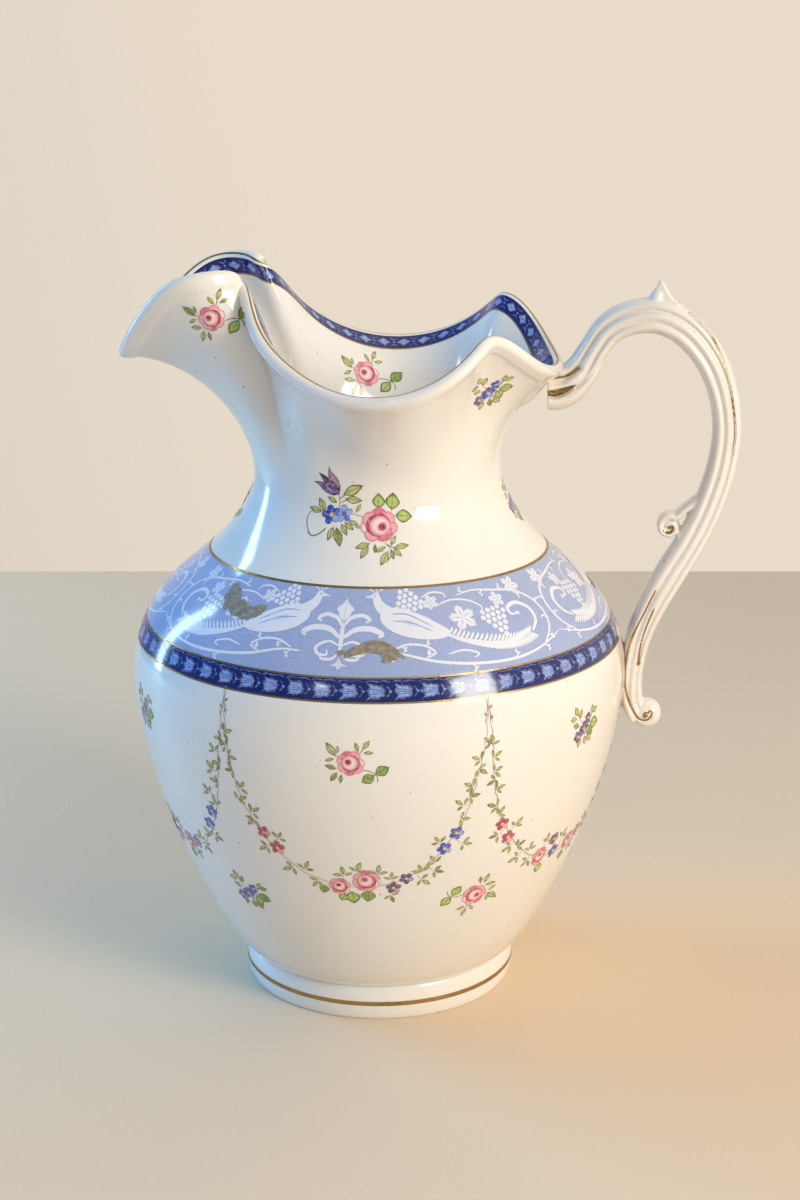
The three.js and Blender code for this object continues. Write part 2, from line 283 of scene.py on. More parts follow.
def worn_look():
    """Where the print has rubbed off: dull, stained and uneven."""
    look = Look("worn_print", IOR=1.5)
    stained = look.ramp(look.noise(240, 4, 0.7), 0.35, 0.65)
    stain = look.mix(stained, srgb(112, 106, 98), srgb(152, 138, 108))
    chalky = look.ramp(look.noise(700, 4), 0.45, 0.8)
    look.output(look.mix(chalky, stain, srgb(172, 166, 160)), "Base Color")
    look.roughness(300, 2, 0.35, 0.6)
    look.bump(look.noise(800, 3), 0.3, 0.0003)
    return look.material


WHITE = srgb(243, 238, 229)
GLAZE = glaze_look("white_glaze", WHITE, srgb(236, 228, 215))
HANDLE_GLAZE = glaze_look("handle_glaze", srgb(241, 235, 225), srgb(230, 221, 207))
SLIP_GLAZE = glaze_look("slip_glaze", srgb(238, 228, 213), srgb(222, 208, 190))
COBALT = print_look("cobalt_band", srgb(12, 22, 86), srgb(26, 42, 126), 500)
SKY_PRINT = print_look("blue_print", srgb(150, 165, 205), srgb(182, 191, 219), 1300)
PALE_PRINT = painted_look("pale_print", 0.1, 0.2, WHITE)
ENAMEL = painted_look("enamel_colours", 0.12, 0.3, WHITE)
GILT = gilt_look()
WORN = worn_look()


# ---------------------------------------------------------------- foot and body
def below_joint(distance):
    """A point on the straight stretch of shoulder below the neck joint."""
    step = distance * ROOT_HALF
    return [NECK_JOINT_RADIUS + step, NECK_JOINT_HEIGHT - step]


BELLY_CURVE = [
    [FOOT_CONTACT_RADIUS + 0.8, FOOT_HEIGHT],
    [65, 20.8],
    [BELLY_RADIUS, BELLY_HEIGHT - 40],
    [BELLY_RADIUS, BELLY_HEIGHT],
]
SHOULDER_CURVE = [
    [BELLY_RADIUS, BELLY_HEIGHT],
    [BELLY_RADIUS, BELLY_HEIGHT + 30],
    below_joint(13),
    below_joint(JOINT_STRAIGHT),
]


def body_outline(steps):
    t = np.linspace(0, 1, steps)
    shoulder = bezier(SHOULDER_CURVE, t)[1:]
    return np.vstack([bezier(BELLY_CURVE, t), shoulder, below_joint(0.75), below_joint(0)])


OUTLINE = body_outline(600)
OUTLINE_LENGTH = lengths_along(OUTLINE)
SHOULDER_TOP = OUTLINE_LENGTH[-1]
NORMAL_STEP = 0.4  # millimetres either way, for the outline's direction


def outline_point(length):
    return [np.interp(length, OUTLINE_LENGTH, OUTLINE[:, axis]) for axis in range(2)]


def outline_at(length):
    """Radius, height and outward normal of the body's outline."""
    r, z = outline_point(length)
    r_before, z_before = outline_point(length - NORMAL_STEP)
    r_after, z_after = outline_point(length + NORMAL_STEP)
    dr, dz = r_after - r_before, z_after - z_before
    size = np.hypot(dr, dz)
    return r, z, dz / size, -dr / size


def body_at(angle, length, lift=0.0):
    """Points on the body (or `lift` above it) and their normals."""
    length = np.clip(length, 0, SHOULDER_TOP)
    r, z, normal_r, normal_z = outline_at(length)
    a = np.radians(angle)
    out_x, out_y = np.sin(a), -np.cos(a)
    reach = r + normal_r * lift
    points = np.stack([reach * out_x, reach * out_y, z + normal_z * lift], -1)
    normals = np.stack([normal_r * out_x, normal_r * out_y, normal_z + 0 * a], -1)
    return points, normals


def foot_ring():
    steps = 20
    bulge = FOOT_RADIUS - FOOT_CONTACT_RADIUS
    bead = []
    for k in range(steps + 1):
        angle = math.pi * (k / steps - 0.5)
        radius = FOOT_CONTACT_RADIUS + bulge * math.cos(angle)
        bead.append([radius, FOOT_HEIGHT / 2 * (1 + math.sin(angle))])
    outline = [
        [FOOT_INNER_RADIUS, FOOT_EDGE],
        [FOOT_INNER_RADIUS + FOOT_EDGE, 0],
        *bead,
        [FOOT_INNER_RADIUS, FOOT_HEIGHT],
    ]
    points, faces = turned(outline)
    return finished(new_piece("turned_foot", points, faces, GLAZE), "foot_glaze", "foot_ring")


def body():
    outside = body_outline(56)
    along = np.gradient(outside, axis=0)
    along /= np.linalg.norm(along, axis=1)[:, None]
    inside = outside + WALL * np.stack([-along[:, 1], along[:, 0]], 1)
    inside = inside[inside[:, 1] > COVE_TOP]
    first, second = inside[:2]
    steep = first - COVE_PULL * (second - first) / np.linalg.norm(second - first)
    flat, bend = [COVE_FLAT, FLOOR_HEIGHT], [COVE_BEND, FLOOR_HEIGHT]
    cove = bezier([flat, bend, steep, first], np.linspace(0, 1, 24))
    outline = [
        [0, RECESS_HEIGHT],
        [FOOT_INNER_RADIUS, RECESS_HEIGHT],
        [FOOT_INNER_RADIUS, FOOT_HEIGHT],
        *outside.tolist(),
        *inside[::-1].tolist(),
        *cove[-2::-1].tolist(),
        [0, FLOOR_HEIGHT],
    ]
    points, faces = turned(outline, 320)
    return finished(new_piece("round_body", points, faces, GLAZE), "body_glaze", "body")


# ---------------------------------------------------------------- neck, rim and lip
# Middle of the wall at the rim on the +Y side, from the tip of the lip to the handle:
# angle on the neck, x, y, z, slope of the wall and how far it keeps that slope.
RIM_STATIONS = [
    [0, -98.9, 0, 253.5, -4, 36], [8, -97, 9.5, 255, 3, 35], [16, -91, 19, 265, 20, 33],
    [25, -82, 28.5, 275.5, 40, 32], [33, -73, 35.5, 284.5, 52, 31], [41, -62, 36.5, 287, 62, 30],
    [48, -52, 29.5, 287.5, 68, 30], [54, -48, 24, 284, 70, 30], [60, -44, 37, 277.5, 60, 28],
    [67, -38.5, 49.5, 265, 50, 26], [78, -23.5, 59, 254, 40, 24], [92, -6, 70.5, 247.5, 34, 24],
    [108, 16.5, 74.5, 248.5, 32, 24], [122, 33.5, 72.5, 257, 36, 25], [131, 42.5, 64, 266, 42, 27],
    [138, 45.5, 56, 270, 45, 28], [145, 52.5, 50.5, 266.5, 42, 27], [153, 60, 41.5, 258.5, 36, 26],
    [165, 65.5, 24, 252, 31, 26], [180, 70, 0, 249.5, 29, 26],
]
STATION_RING = RIM_STATIONS + [[360 - a, x, -y, *rest] for a, x, y, *rest in RIM_STATIONS[-2:0:-1]]
STATIONS = len(STATION_RING)
JOIN_INSET = HALF_WALL * ROOT_HALF
NECK_FOOT = [NECK_JOINT_RADIUS - JOIN_INSET, NECK_JOINT_HEIGHT - JOIN_INSET]
STRAIGHT_STEP = JOINT_STRAIGHT * ROOT_HALF
LOWER_NECK = [
    [NECK_FOOT[0] - STRAIGHT_STEP, NECK_FOOT[1] + STRAIGHT_STEP],
    [NECK_FOOT[0] - 8.5, NECK_FOOT[1] + 8.5],
    [WAIST_RADIUS - HALF_WALL, WAIST_HEIGHT - 14],
    [WAIST_RADIUS - HALF_WALL, WAIST_HEIGHT],
]
TURNED_SHARE = 0.72  # of the lower neck is round; the rest bends to the waved rim
SIDE_RISE, LIP_RISE = 15, 19  # how far the wall rises straight before it bends out
NECK_STEPS = 10  # columns of the neck's mesh between two stations
ROLL = 0.75  # how far the rolled edge stands proud outside
ROLL_WIDTH = 4.4
ROLL_FADE = 1.8  # over which the roll dies into the wall
FOLD_SMOOTHING = 12  # passes that open the wall's inside where the rim folds sharply
CAP_STEPS = 10


def unit(v):
    return v / np.linalg.norm(v)


def rim_at(u):
    """The rim's station values at u, smoothed round the ring; angles run on past 360."""
    i = math.floor(u)
    t = u - i
    weights = [
        (1 - t) ** 3 / 6,
        (3 * t**3 - 6 * t**2 + 4) / 6,
        (-3 * t**3 + 3 * t**2 + 3 * t + 1) / 6,
        t**3 / 6,
    ]
    total = np.zeros(6)
    for weight, k in zip(weights, range(i - 1, i + 3)):
        station = np.array(STATION_RING[k % STATIONS], float)
        station[0] += 360 * (k // STATIONS)
        total += weight * station
    return total


def neck_column(u):
    """Middle of the neck's wall above station u, from the joint to the rim."""
    angle, x, y, z, slope, reach = rim_at(u)
    around = math.radians(angle)
    lower = bezier(LOWER_NECK, np.append(np.linspace(0, TURNED_SHARE, 14), TURNED_SHARE + 0.01))
    lower = np.vstack([NECK_FOOT, lower])
    lower = np.stack([-lower[:, 0] * math.cos(around), lower[:, 0] * math.sin(around), lower[:, 1]], 1)
    start, direction = lower[-2], unit(lower[-1] - lower[-2])
    rise = SIDE_RISE + (LIP_RISE - SIDE_RISE) * max(0.0, math.cos(around))
    middle = start + direction * rise
    rim = np.array([x, y, z])
    outward = unit(np.array([x - middle[0], y - middle[1], 0]))
    tilt = math.radians(slope)
    flare = outward * math.cos(tilt) + np.array([0, 0, math.sin(tilt)])
    t = np.concatenate([np.linspace(0, 0.76, 18), np.linspace(0.78, 1, 22)])
    upper = bezier([start, middle, rim - flare * reach, rim], t)
    return np.vstack([lower[:-2], upper])


def grid_normals(grid):
    """Outward normals of a closed grid [column][row] of points."""
    along = np.roll(grid, 1, axis=0) - np.roll(grid, -1, axis=0)
    normal = np.cross(along, np.gradient(grid, axis=1))
    return normal / np.linalg.norm(normal, axis=2)[..., None]


def neck_surfaces():
    """The wall's outside, inside and inside normals as grids [column][row], and for the
    rim the way up from each column and every point's distance below it."""
    columns = STATIONS * NECK_STEPS
    middle = np.array([neck_column(k / NECK_STEPS) for k in range(columns)])
    normal = grid_normals(middle)
    steps = np.linalg.norm(np.diff(middle, axis=1), axis=2)
    from_rim = np.cumsum(steps[:, ::-1], axis=1)[:, ::-1]
    below_rim = np.concatenate([from_rim, np.zeros((columns, 1))], axis=1)
    roll = ROLL * (1 - smoothstep((below_rim - ROLL_WIDTH + ROLL_FADE / 2) / ROLL_FADE))
    outside = middle + normal * (HALF_WALL + roll)[..., None]
    inside = middle - normal * HALF_WALL
    for _ in range(FOLD_SMOOTHING):
        inside = (np.roll(inside, 1, axis=0) + 2 * inside + np.roll(inside, -1, axis=0)) / 4
    rim_up = middle[:, -1] - middle[:, -2]
    rim_up /= np.linalg.norm(rim_up, axis=1)[:, None]
    return outside, inside, grid_normals(inside), rim_up, below_rim


OUTSIDE, INSIDE, INSIDE_NORMAL, RIM_UP, BELOW_RIM = neck_surfaces()
RIM_MIDDLE = (OUTSIDE[:, -1] + INSIDE[:, -1]) / 2
RIM_ACROSS = (OUTSIDE[:, -1] - INSIDE[:, -1]) / 2


def rim_crown(degrees, lift=0.0):
    """The rounded top of the rim; 0 degrees is its outer side and 180 its inner."""
    angle = math.radians(degrees)
    half = np.linalg.norm(RIM_ACROSS, axis=1)[:, None]
    crown = math.cos(angle) * RIM_ACROSS / half + math.sin(angle) * RIM_UP
    return RIM_MIDDLE + (half + lift) * crown


def neck():
    cap = [rim_crown(180 * k / CAP_STEPS) for k in range(1, CAP_STEPS)]
    section = np.concatenate([OUTSIDE, np.stack(cap, 1), INSIDE[:, ::-1]], axis=1)
    columns, rows = section.shape[:2]
    faces = grid_faces(columns, rows, close_rows=True, close_columns=True)
    piece = new_piece("neck_with_lip", section.reshape(-1, 3), faces, GLAZE, 80)
    return finished(piece, "body_glaze", "neck_and_spout")


foot_ring()
body_piece = body()
neck_piece = neck()

# ---------------------------------------------------------------- handle
# Centre line of the strap (x, z), half its depth and half its width.
HANDLE_STATIONS = [
    [65.2, 242.2, 8.6, 7.7], [69, 242.3, 8.5, 7.8], [73, 243.8, 7.6, 8], [78.3, 249.6, 6.6, 8],
    [82.5, 257.4, 5.8, 8], [88, 265.2, 6.1, 8.2], [96.5, 269.6, 6.6, 8.4], [106.5, 270.2, 6.8, 8.4],
    [116.5, 265.6, 6.6, 8.2], [125.2, 256, 6.2, 8], [131, 243.5, 5.8, 7.8],
    [133.6, 228.5, 5.6, 7.6], [132.2, 213, 5.7, 7.4], [128, 198, 5.9, 7.2], [121.8, 183.5, 5.9, 7],
    [114.5, 170.5, 6.2, 6.8], [107.8, 157.5, 5.8, 6.8], [102.9, 144.5, 5.1, 7],
    [100.6, 131, 4.5, 7.2], [100.6, 119, 4.5, 6.6], [103.5, 110.5, 4.2, 5.8],
]
# Half of the strap's section: depth share (-1 inside, 1 back) and width share.
HALF_SECTION = [
    [-1, 0], [-0.97, 0.35], [-0.8, 0.78], [-0.62, 0.97], [-0.42, 1], [-0.26, 0.86], [-0.1, 0.93],
    [0.08, 0.98], [0.22, 0.9], [0.32, 0.7], [0.42, 0.62], [0.55, 0.74], [0.72, 0.68], [0.9, 0.42],
    [1, 0],
]
VOLUTE = (113.2, 189.0)
VOLUTE_RADIUS = 5.9
CURL = (106.6, 112.4)
CURL_RADIUS = 5.9
SPUR_OUTLINE = [
    [98, 270], [101, 275.2], [103.4, 277.8], [105, 281], [106.2, 283.6], [107.6, 283.4],
    [109.4, 280.6], [111.6, 277.2], [114.5, 274.4], [119, 267],
]
# Lines to loft like the strap: the middle of the spur and the roots of the inner scroll.
SPUR_CORE = [[103, 271, 3.4, 5.2], [105.4, 277, 2.8, 4.4], [106.8, 281.6, 1.3, 2.4]]
SCROLL_START = [[124, 200, 1.8, 5.2], [119.4, 196.4, 1.6, 5.3]]
SCROLL_NECK = [[121, 184, 3.4, 5], [116.4, 186, 2.2, 4.8]]
# Creases in both sides of the handle, as (x, z) lines.
STRAND_CREASE = [[76.2, 243.6], [81.2, 248.3], [87.7, 255.6], [92.1, 259.5], [99.5, 263]]
ROOT_CREASE = [[66.5, 246.6], [72.4, 247.6], [77.4, 251]]
BACK_GROOVE = [
    [117.5, 272.2], [120.8, 269.4], [126.6, 263], [131.2, 253.6], [133.8, 245.6], [135.3, 237.6],
    [136.6, 228], [136.2, 218],
]
INNER_GROOVE = [
    [108.6, 164.5], [104.7, 155.8], [99.7, 144.3], [97.7, 134], [97.7, 127], [98.8, 120.8],
    [100.9, 115.5], [103.4, 111.6], [106.2, 110.7], [108.1, 112], [108.6, 113.9], [107.2, 114.6],
]
OUTER_GROOVE = [[108.2, 157], [105.6, 150], [103.8, 143.6], [102.9, 137.6], [102.9, 134]]
# The lens-shaped recess beside the root: (x, z, half its height).
RECESS = [
    [63, 241.4, 0.2], [65.2, 240.9, 1.2], [68, 240.8, 1.7], [70.8, 241.7, 1.5], [73.4, 243, 0.9],
    [75.4, 244.2, 0.2],
]
RECESS_DEPTH = 2.4
SIDE_START = 2.5  # the cuts fade out this near to the middle of the strap
HANDLE_VOXEL = 0.45


def lofted(line, half_section, steps):
    """A solid along a line of (x, z, half depth, half width) in the plane of the handle."""
    line = through(line, steps)
    direction = np.gradient(line[:, :2], axis=0)
    direction /= np.linalg.norm(direction, axis=1)[:, None]
    section = np.vstack([half_section, half_section[-2:0:-1] * [1, -1]])
    depth = line[:, 2:3] * section[:, 0]
    x = line[:, 0:1] - direction[:, 1:2] * depth
    z = line[:, 1:2] + direction[:, 0:1] * depth
    y = line[:, 3:4] * section[:, 1]
    points = np.stack([x, y, z], -1).reshape(-1, 3)
    rows, columns = depth.shape
    ends = [tuple(range(columns)), tuple(range((rows - 1) * columns, rows * columns))]
    return points, grid_faces(rows, columns, close_columns=True) + ends


def rounded_half():
    """Half of a rounded section for small lofts."""
    angles = np.linspace(0, math.pi, 11)
    return np.stack([-np.cos(angles), np.sin(angles) ** 0.6], 1)


def spiral(centre, outer, inner, start, turns, depth, width):
    """A scroll wound inwards from `start` degrees, as a line to loft."""
    t = np.linspace(0, 1, 24)
    angle = math.radians(start) + 2 * math.pi * turns * t
    radius = outer + (inner - outer) * t
    return np.stack(
        [
            centre[0] + radius * np.cos(angle),
            centre[1] + radius * np.sin(angle),
            depth * (1 - 0.35 * t),
            width * (1 - 0.12 * t),
        ],
        1,
    )


def disc_across(centre, radius, half_width):
    """A round-edged disc across the handle."""
    angles = np.linspace(0, math.pi, 13)
    outline = [[radius * math.sin(a) ** 0.5, -half_width * math.cos(a)] for a in angles[1:-1]]
    outline = [[0, -half_width], *outline, [0, half_width]]
    points, faces = turned(outline, 48)
    points = np.array(points)[:, [0, 2, 1]] + [centre[0], 0, centre[1]]
    return points, faces


def plate(outline, half_width):
    """A flat plate in the plane of the handle."""
    count = len(outline)
    points = [[x, side * half_width, z] for side in (-1, 1) for x, z in outline]
    faces = [(i, (i + 1) % count, (i + 1) % count + count, i + count) for i in range(count)]
    return np.array(points), faces + [tuple(range(count))[::-1], tuple(range(count, 2 * count))]


def leaf_lobes():
    """Small overlapping lobes down the back of the bend."""
    solids = []
    ridge = through([[110.6, 275.8], [116, 272.4], [121.4, 267.8], [126, 262], [130, 255.4]], 2)
    for (x, z), (x2, z2) in zip(ridge, ridge[1:]):
        slope = np.array([x2 - x, z2 - z]) / math.hypot(x2 - x, z2 - z)
        back = np.array([-slope[1], slope[0]])
        tail = np.array([x, z]) - 1.2 * back
        middle = tail + 3.0 * slope + 1.4 * back
        tip = tail + 5.4 * slope + 1.9 * back
        line = [[*tail, 1.0, 3.4], [*middle, 1.1, 3.8], [*tip, 0.5, 1.8]]
        solids.append(lofted(line, rounded_half(), 4))
    return solids


def fused(name, solids, material, voxel, smooth_steps):
    """One smooth skin round overlapping solids."""
    points, faces = [], []
    for solid_points, solid_faces in solids:
        faces += [[i + len(points) for i in face] for face in solid_faces]
        points += [list(p) for p in solid_points]
    piece = new_piece(name, points, faces, material)
    remesh = piece.modifiers.new("fuse", "REMESH")
    remesh.mode = "VOXEL"
    remesh.voxel_size = voxel * MM
    smooth = piece.modifiers.new("soften", "SMOOTH")
    smooth.factor = 0.5
    smooth.iterations = smooth_steps
    skin = piece.evaluated_get(bpy.context.evaluated_depsgraph_get())
    rough_mesh = piece.data
    piece.data = bpy.data.meshes.new_from_object(skin)
    piece.data.name = name
    piece.modifiers.clear()
    bpy.data.meshes.remove(rough_mesh)
    piece.data.shade_smooth()
    return piece


def mesh_points(piece):
    """A piece's points in the jug's millimetres."""
    points = np.empty(len(piece.data.vertices) * 3)
    piece.data.vertices.foreach_get("co", points)
    return points.reshape(-1, 3) / MM - [AXIS_X, 0, 0]


def distance_to_line(points, line):
    """Distance from (x, z) points to a line, and how far along the line it is."""
    line = through(line, 6)
    best = np.full(len(points), 1e9)
    along = np.zeros(len(points))
    for k, (a, b) in enumerate(zip(line, line[1:])):
        step = b[:2] - a[:2]
        t = np.clip((points - a[:2]) @ step / (step @ step), 0, 1)
        distance = np.linalg.norm(points - a[:2] - t[:, None] * step, axis=1)
        closer = distance < best
        best[closer] = distance[closer]
        along[closer] = k + t[closer]
    return best, along, line


def carve(piece):
    """Cuts the creases and the lens-shaped recesses into both sides of the handle."""
    points = mesh_points(piece)
    plane = points[:, [0, 2]]
    side = smoothstep((np.abs(points[:, 1]) - SIDE_START) / SIDE_START)
    cut = np.zeros(len(points))
    creases = (
        (STRAND_CREASE, 0.8, 0.9),
        (ROOT_CREASE, 0.9, 1.2),
        (INNER_GROOVE, 0.55, 0.5),
        (OUTER_GROOVE, 0.55, 0.4),
    )
    for line, half_width, depth in creases:
        distance, _, _ = distance_to_line(plane, line)
        cut = np.maximum(cut, depth * np.exp(-((distance / half_width) ** 2)))
    distance, along, line = distance_to_line(plane, RECESS)
    half_height = np.interp(along, np.arange(len(line)), line[:, 2])
    cut = np.maximum(cut, RECESS_DEPTH * (1 - smoothstep(distance - half_height + 0.5)))
    points[:, 1] -= np.sign(points[:, 1]) * cut * side
    piece.data.vertices.foreach_set("co", ((points + [AXIS_X, 0, 0]) * MM).ravel())
    piece.data.update()


def handle():
    winding = spiral(VOLUTE, VOLUTE_RADIUS - 1.4, 1.2, 58, 1.3, 1.5, 5.4)
    scroll = np.vstack([SCROLL_START, winding])
    solids = [
        lofted(HANDLE_STATIONS, through(HALF_SECTION, 3), 10),
        lofted(scroll, rounded_half(), 3),
        disc_across(VOLUTE, 4.0, 3.7),
        lofted(SCROLL_NECK, rounded_half(), 4),
        disc_across(CURL, CURL_RADIUS, 5.6),
        plate(through(SPUR_OUTLINE, 3), 3.0),
        lofted(SPUR_CORE, rounded_half(), 5),
        *leaf_lobes(),
    ]
    piece = fused("scrolled_handle", solids, HANDLE_GLAZE, HANDLE_VOXEL, 3)
    carve(piece)
    return finished(piece, "handle_glaze", "handle")


# ---------------------------------------------------------------- slip round the roots
SLIP_EDGE, SLIP_BACK = 0.03, -0.9  # heights of the slip's rim and back above the wall


def surface_tree(piece):
    """A search tree of a piece's faces, in the jug's millimetres."""
    faces = [list(polygon.vertices) for polygon in piece.data.polygons]
    return BVHTree.FromPolygons(mesh_points(piece).tolist(), faces)


def slip_mound(name, tree, height, half_width, half_height, swell, node):
    """A low smooth swelling of slip on the wall, which the handle's end stands in."""
    rings, spokes = 10, 48
    top, bottom = [], []
    for k in range(rings + 1):
        share = k / rings
        rise = SLIP_EDGE + swell * (1 - share**2) ** 1.6
        for j in range(spokes):
            angle = 2 * math.pi * j / spokes
            y = half_width * share * math.cos(angle)
            z = height + half_height * share * math.sin(angle)
            hit, normal, _, _ = tree.ray_cast(Vector((130, y, z)), Vector((-1, 0, 0)))
            top.append(list(hit + normal * rise))
            bottom.append(list(hit + normal * SLIP_BACK))
    faces = grid_faces(2 * rings + 2, spokes, close_columns=True)
    mound = new_piece(name, top + bottom[::-1], faces, SLIP_GLAZE)
    skin = bmesh.new()
    skin.from_mesh(mound.data)
    bmesh.ops.remove_doubles(skin, verts=skin.verts, dist=0.002 * MM)
    bmesh.ops.recalc_face_normals(skin, faces=skin.faces)
    skin.to_mesh(mound.data)
    skin.free()
    return finished(mound, "slip", node)


neck_tree = surface_tree(neck_piece)
body_tree = surface_tree(body_piece)
handle_piece = handle()
slip_mound("upper_slip", neck_tree, 240.6, 11.5, 7.8, 2.6, "upper_handle_joint")
slip_mound("lower_slip", body_tree, 129, 9.6, 21, 1.6, "lower_handle_joint")

# ---------------------------------------------------------------- painted shapes
LAYER = 0.025  # one coat of colour on another
BASE_LIFT = 0.05
GROUND_LIFT = BASE_LIFT - 0.02  # of the printed grounds under the other shapes
RING_GAP = 1.3  # millimetres between the rings of a filled shape


def finer(shades, reach):
    """The same shading with rings close enough together to follow the surface."""
    shares = [share for share, _ in shades]
    colours = np.array([colour for _, colour in shades])
    gap = RING_GAP / reach
    rings = np.arange(RING_GAP, reach, RING_GAP) / reach
    extra = [x for x in rings if min(abs(x - share) for share in shares) > 0.3 * gap]
    return [(x, tuple(np.interp(x, shares, c) for c in colours.T)) for x in sorted(shares + extra)]


def even(colour):
    """Shades of a shape in one colour."""
    return [(0, colour), (1, colour)]


def edged(colour, edge, start=0.7):
    """Shades of a shape in one colour that turns into the edge's from `start`."""
    return [(0, colour), (start, colour), (1, edge)]


class Paint:
    """Thin coloured shapes laid on a surface and gathered into one piece.

    A shape is drawn on a `place`: a function from flat millimetres (p to the right, q
    up) and a height above the surface to points and normals.
    """

    def __init__(self, name, material):
        self.name, self.material = name, material
        self.points, self.normals, self.colours, self.faces = [], [], [], []

    def add(self, place, flat, colours, faces, layer):
        start = len(self.points)
        flat = np.asarray(flat, float)
        points, normals = place(flat[:, 0], flat[:, 1], BASE_LIFT + LAYER * layer)
        first, second, third = (points[[face[k] for face in faces]] for k in range(3))
        facing = np.cross(second - first, third - first) * normals[[face[0] for face in faces]]
        if facing.sum() < 0:
            faces = [face[::-1] for face in faces]
        self.points += points.tolist()
        self.normals += normals.tolist()
        self.colours += [tuple(c) for c in colours]
        self.faces += [[start + i for i in face] for face in faces]

    def blob(self, place, outline, shades, layer=0, centre=None):
        """A filled shape: shades are (share of the way to the edge, colour), edge last."""
        outline = np.asarray(outline, float)
        count = len(outline)
        centre = outline.mean(axis=0) if centre is None else np.asarray(centre, float)
        shades = finer(shades, np.linalg.norm(outline - centre, axis=1).max())
        flat = [centre]
        colours = [shades[0][1]]
        faces = []
        for ring, (share, colour) in enumerate(shades[1:]):
            flat += list(centre + (outline - centre) * share)
            colours += [colour] * count
            base = 1 + ring * count
            for j in range(count):
                k = (j + 1) % count
                if ring:
                    faces.append((base - count + j, base + j, base + k, base - count + k))
                else:
                    faces.append((0, base + j, base + k))
        self.add(place, flat, colours, faces, layer)

    def stroke(self, place, line, width, colour, layer=0, taper=True):
        """A painted line; `width` may be one number or one for each point."""
        line = np.asarray(line, float)
        along = np.gradient(line, axis=0)
        size = np.linalg.norm(along, axis=1)[:, None]
        side = np.stack([-along[:, 1], along[:, 0]], 1) / np.maximum(size, 1e-6)
        half = np.broadcast_to(np.asarray(width, float) / 2, len(line)).copy()
        if taper:
            half[[0, -1]] *= 0.3
        left = line + side * half[:, None]
        right = line - side * half[:, None]
        flat = np.stack([left, right], 1).reshape(-1, 2)
        faces = [(2 * i + 1, 2 * i + 3, 2 * i + 2, 2 * i) for i in range(len(line) - 1)]
        self.add(place, flat, [colour] * len(flat), faces, layer)

    def piece(self, slot):
        painted = new_piece(self.name, self.points, self.faces, self.material, 180)
        tint = painted.data.attributes.new("tint", "FLOAT_COLOR", "POINT")
        tint.data.foreach_set("color", np.array(self.colours, np.float32).ravel())
        painted.data.normals_split_custom_set_from_vertices(self.normals)
        return finished(painted, slot)


def pointing(degrees):
    """The unit vector at an angle from the right, towards up."""
    angle = math.radians(degrees)
    return np.array([math.cos(angle), math.sin(angle)])


def turn_flat(points, degrees, size=1.0, shift=(0, 0)):
    right, up = pointing(degrees)
    return np.asarray(points, float) * size @ np.array([[right, up], [-up, right]]) + shift


def on_body(angle, length, turn=0.0):
    """A place on the body round (angle, length)."""
    radius = outline_at(length)[0]

    def place(p, q, lift):
        flat = turn_flat(np.stack([p, q], -1), turn)
        return body_at(angle + np.degrees(flat[:, 0] / radius), length + flat[:, 1], lift)

    return place


def on_wall(tree, target, outward, turn=0.0, size=1.0, reach=14.0):
    """A place on a free-form surface, looking at the target from outside."""
    outward = Vector(outward).normalized()
    centre, normal, _, _ = tree.ray_cast(Vector(target) + outward * reach, -outward)
    right = Vector((0, 0, 1)).cross(normal).normalized()
    up = normal.cross(right)

    def place(p, q, lift):
        points, normals = [], []
        for a, b in turn_flat(np.stack([p, q], -1), turn, size):
            start = centre + right * a + up * b + normal * reach
            hit, out, _, _ = tree.ray_cast(start, -normal)
            if hit is None:
                hit, out, _, _ = tree.find_nearest(start - normal * reach)
            points.append(hit + out * lift)
            normals.append(out)
        return np.array(points), np.array(normals)

    return place


def ring_outline(radius_x, radius_y=None, count=14, shift=(0, 0), turn=0.0):
    angles = np.linspace(0, 2 * math.pi, count, endpoint=False)
    radius_y = radius_x if radius_y is None else radius_y
    ring = np.stack([radius_x * np.cos(angles), radius_y * np.sin(angles)], 1)
    return turn_flat(ring, turn, 1, shift)


# Colours of the enamels.
OLIVE_DARK = srgb(98, 96, 44)
OLIVE = srgb(152, 154, 68)
OLIVE_LIGHT = srgb(206, 204, 118)
GREEN_DARK = srgb(84, 112, 30)
GREEN = srgb(130, 160, 48)
GREEN_LIGHT = srgb(188, 200, 96)
STEM = srgb(196, 146, 122)
STEM_GREY = srgb(150, 136, 128)
STEM_BROWN = srgb(168, 112, 82)
PINK = srgb(218, 112, 134)
PINK_LIGHT = srgb(240, 172, 176)
PINK_DARK = srgb(170, 50, 80)
BLUSH = srgb(248, 224, 212)
CRIMSON = srgb(148, 16, 38)
RASPBERRY = srgb(190, 62, 92)
RASPBERRY_DARK = srgb(138, 34, 62)
PURPLE = srgb(108, 76, 128)
PURPLE_DARK = srgb(62, 34, 80)
PURPLE_LIGHT = srgb(178, 156, 190)
MAUVE = srgb(176, 132, 150)
BLUE = srgb(46, 84, 188)
BLUE_DARK = srgb(22, 44, 138)
BLUE_LIGHT = srgb(158, 176, 220)
YELLOW = srgb(234, 196, 96)
YELLOW_DARK = srgb(198, 132, 40)

LEAF_HALF = through([[0, 0], [0.22, 0.17], [0.5, 0.25], [0.8, 0.14], [1, 0]], 3)
LEAF = np.vstack([LEAF_HALF, LEAF_HALF[-2:0:-1] * [1, -1]])
GREEN_LEAF = (GREEN_DARK, GREEN, GREEN_LIGHT)
OLIVE_LEAF = (OLIVE_DARK, OLIVE, OLIVE_LIGHT)
YELLOW_HEART = (YELLOW, YELLOW_DARK)
BLUE_HEART = (srgb(60, 60, 90), BLUE_DARK)
PETAL_COUNT = 5
FLOWER_LAYER = 3  # flowers lie over the leaves
chance = random.Random(41)


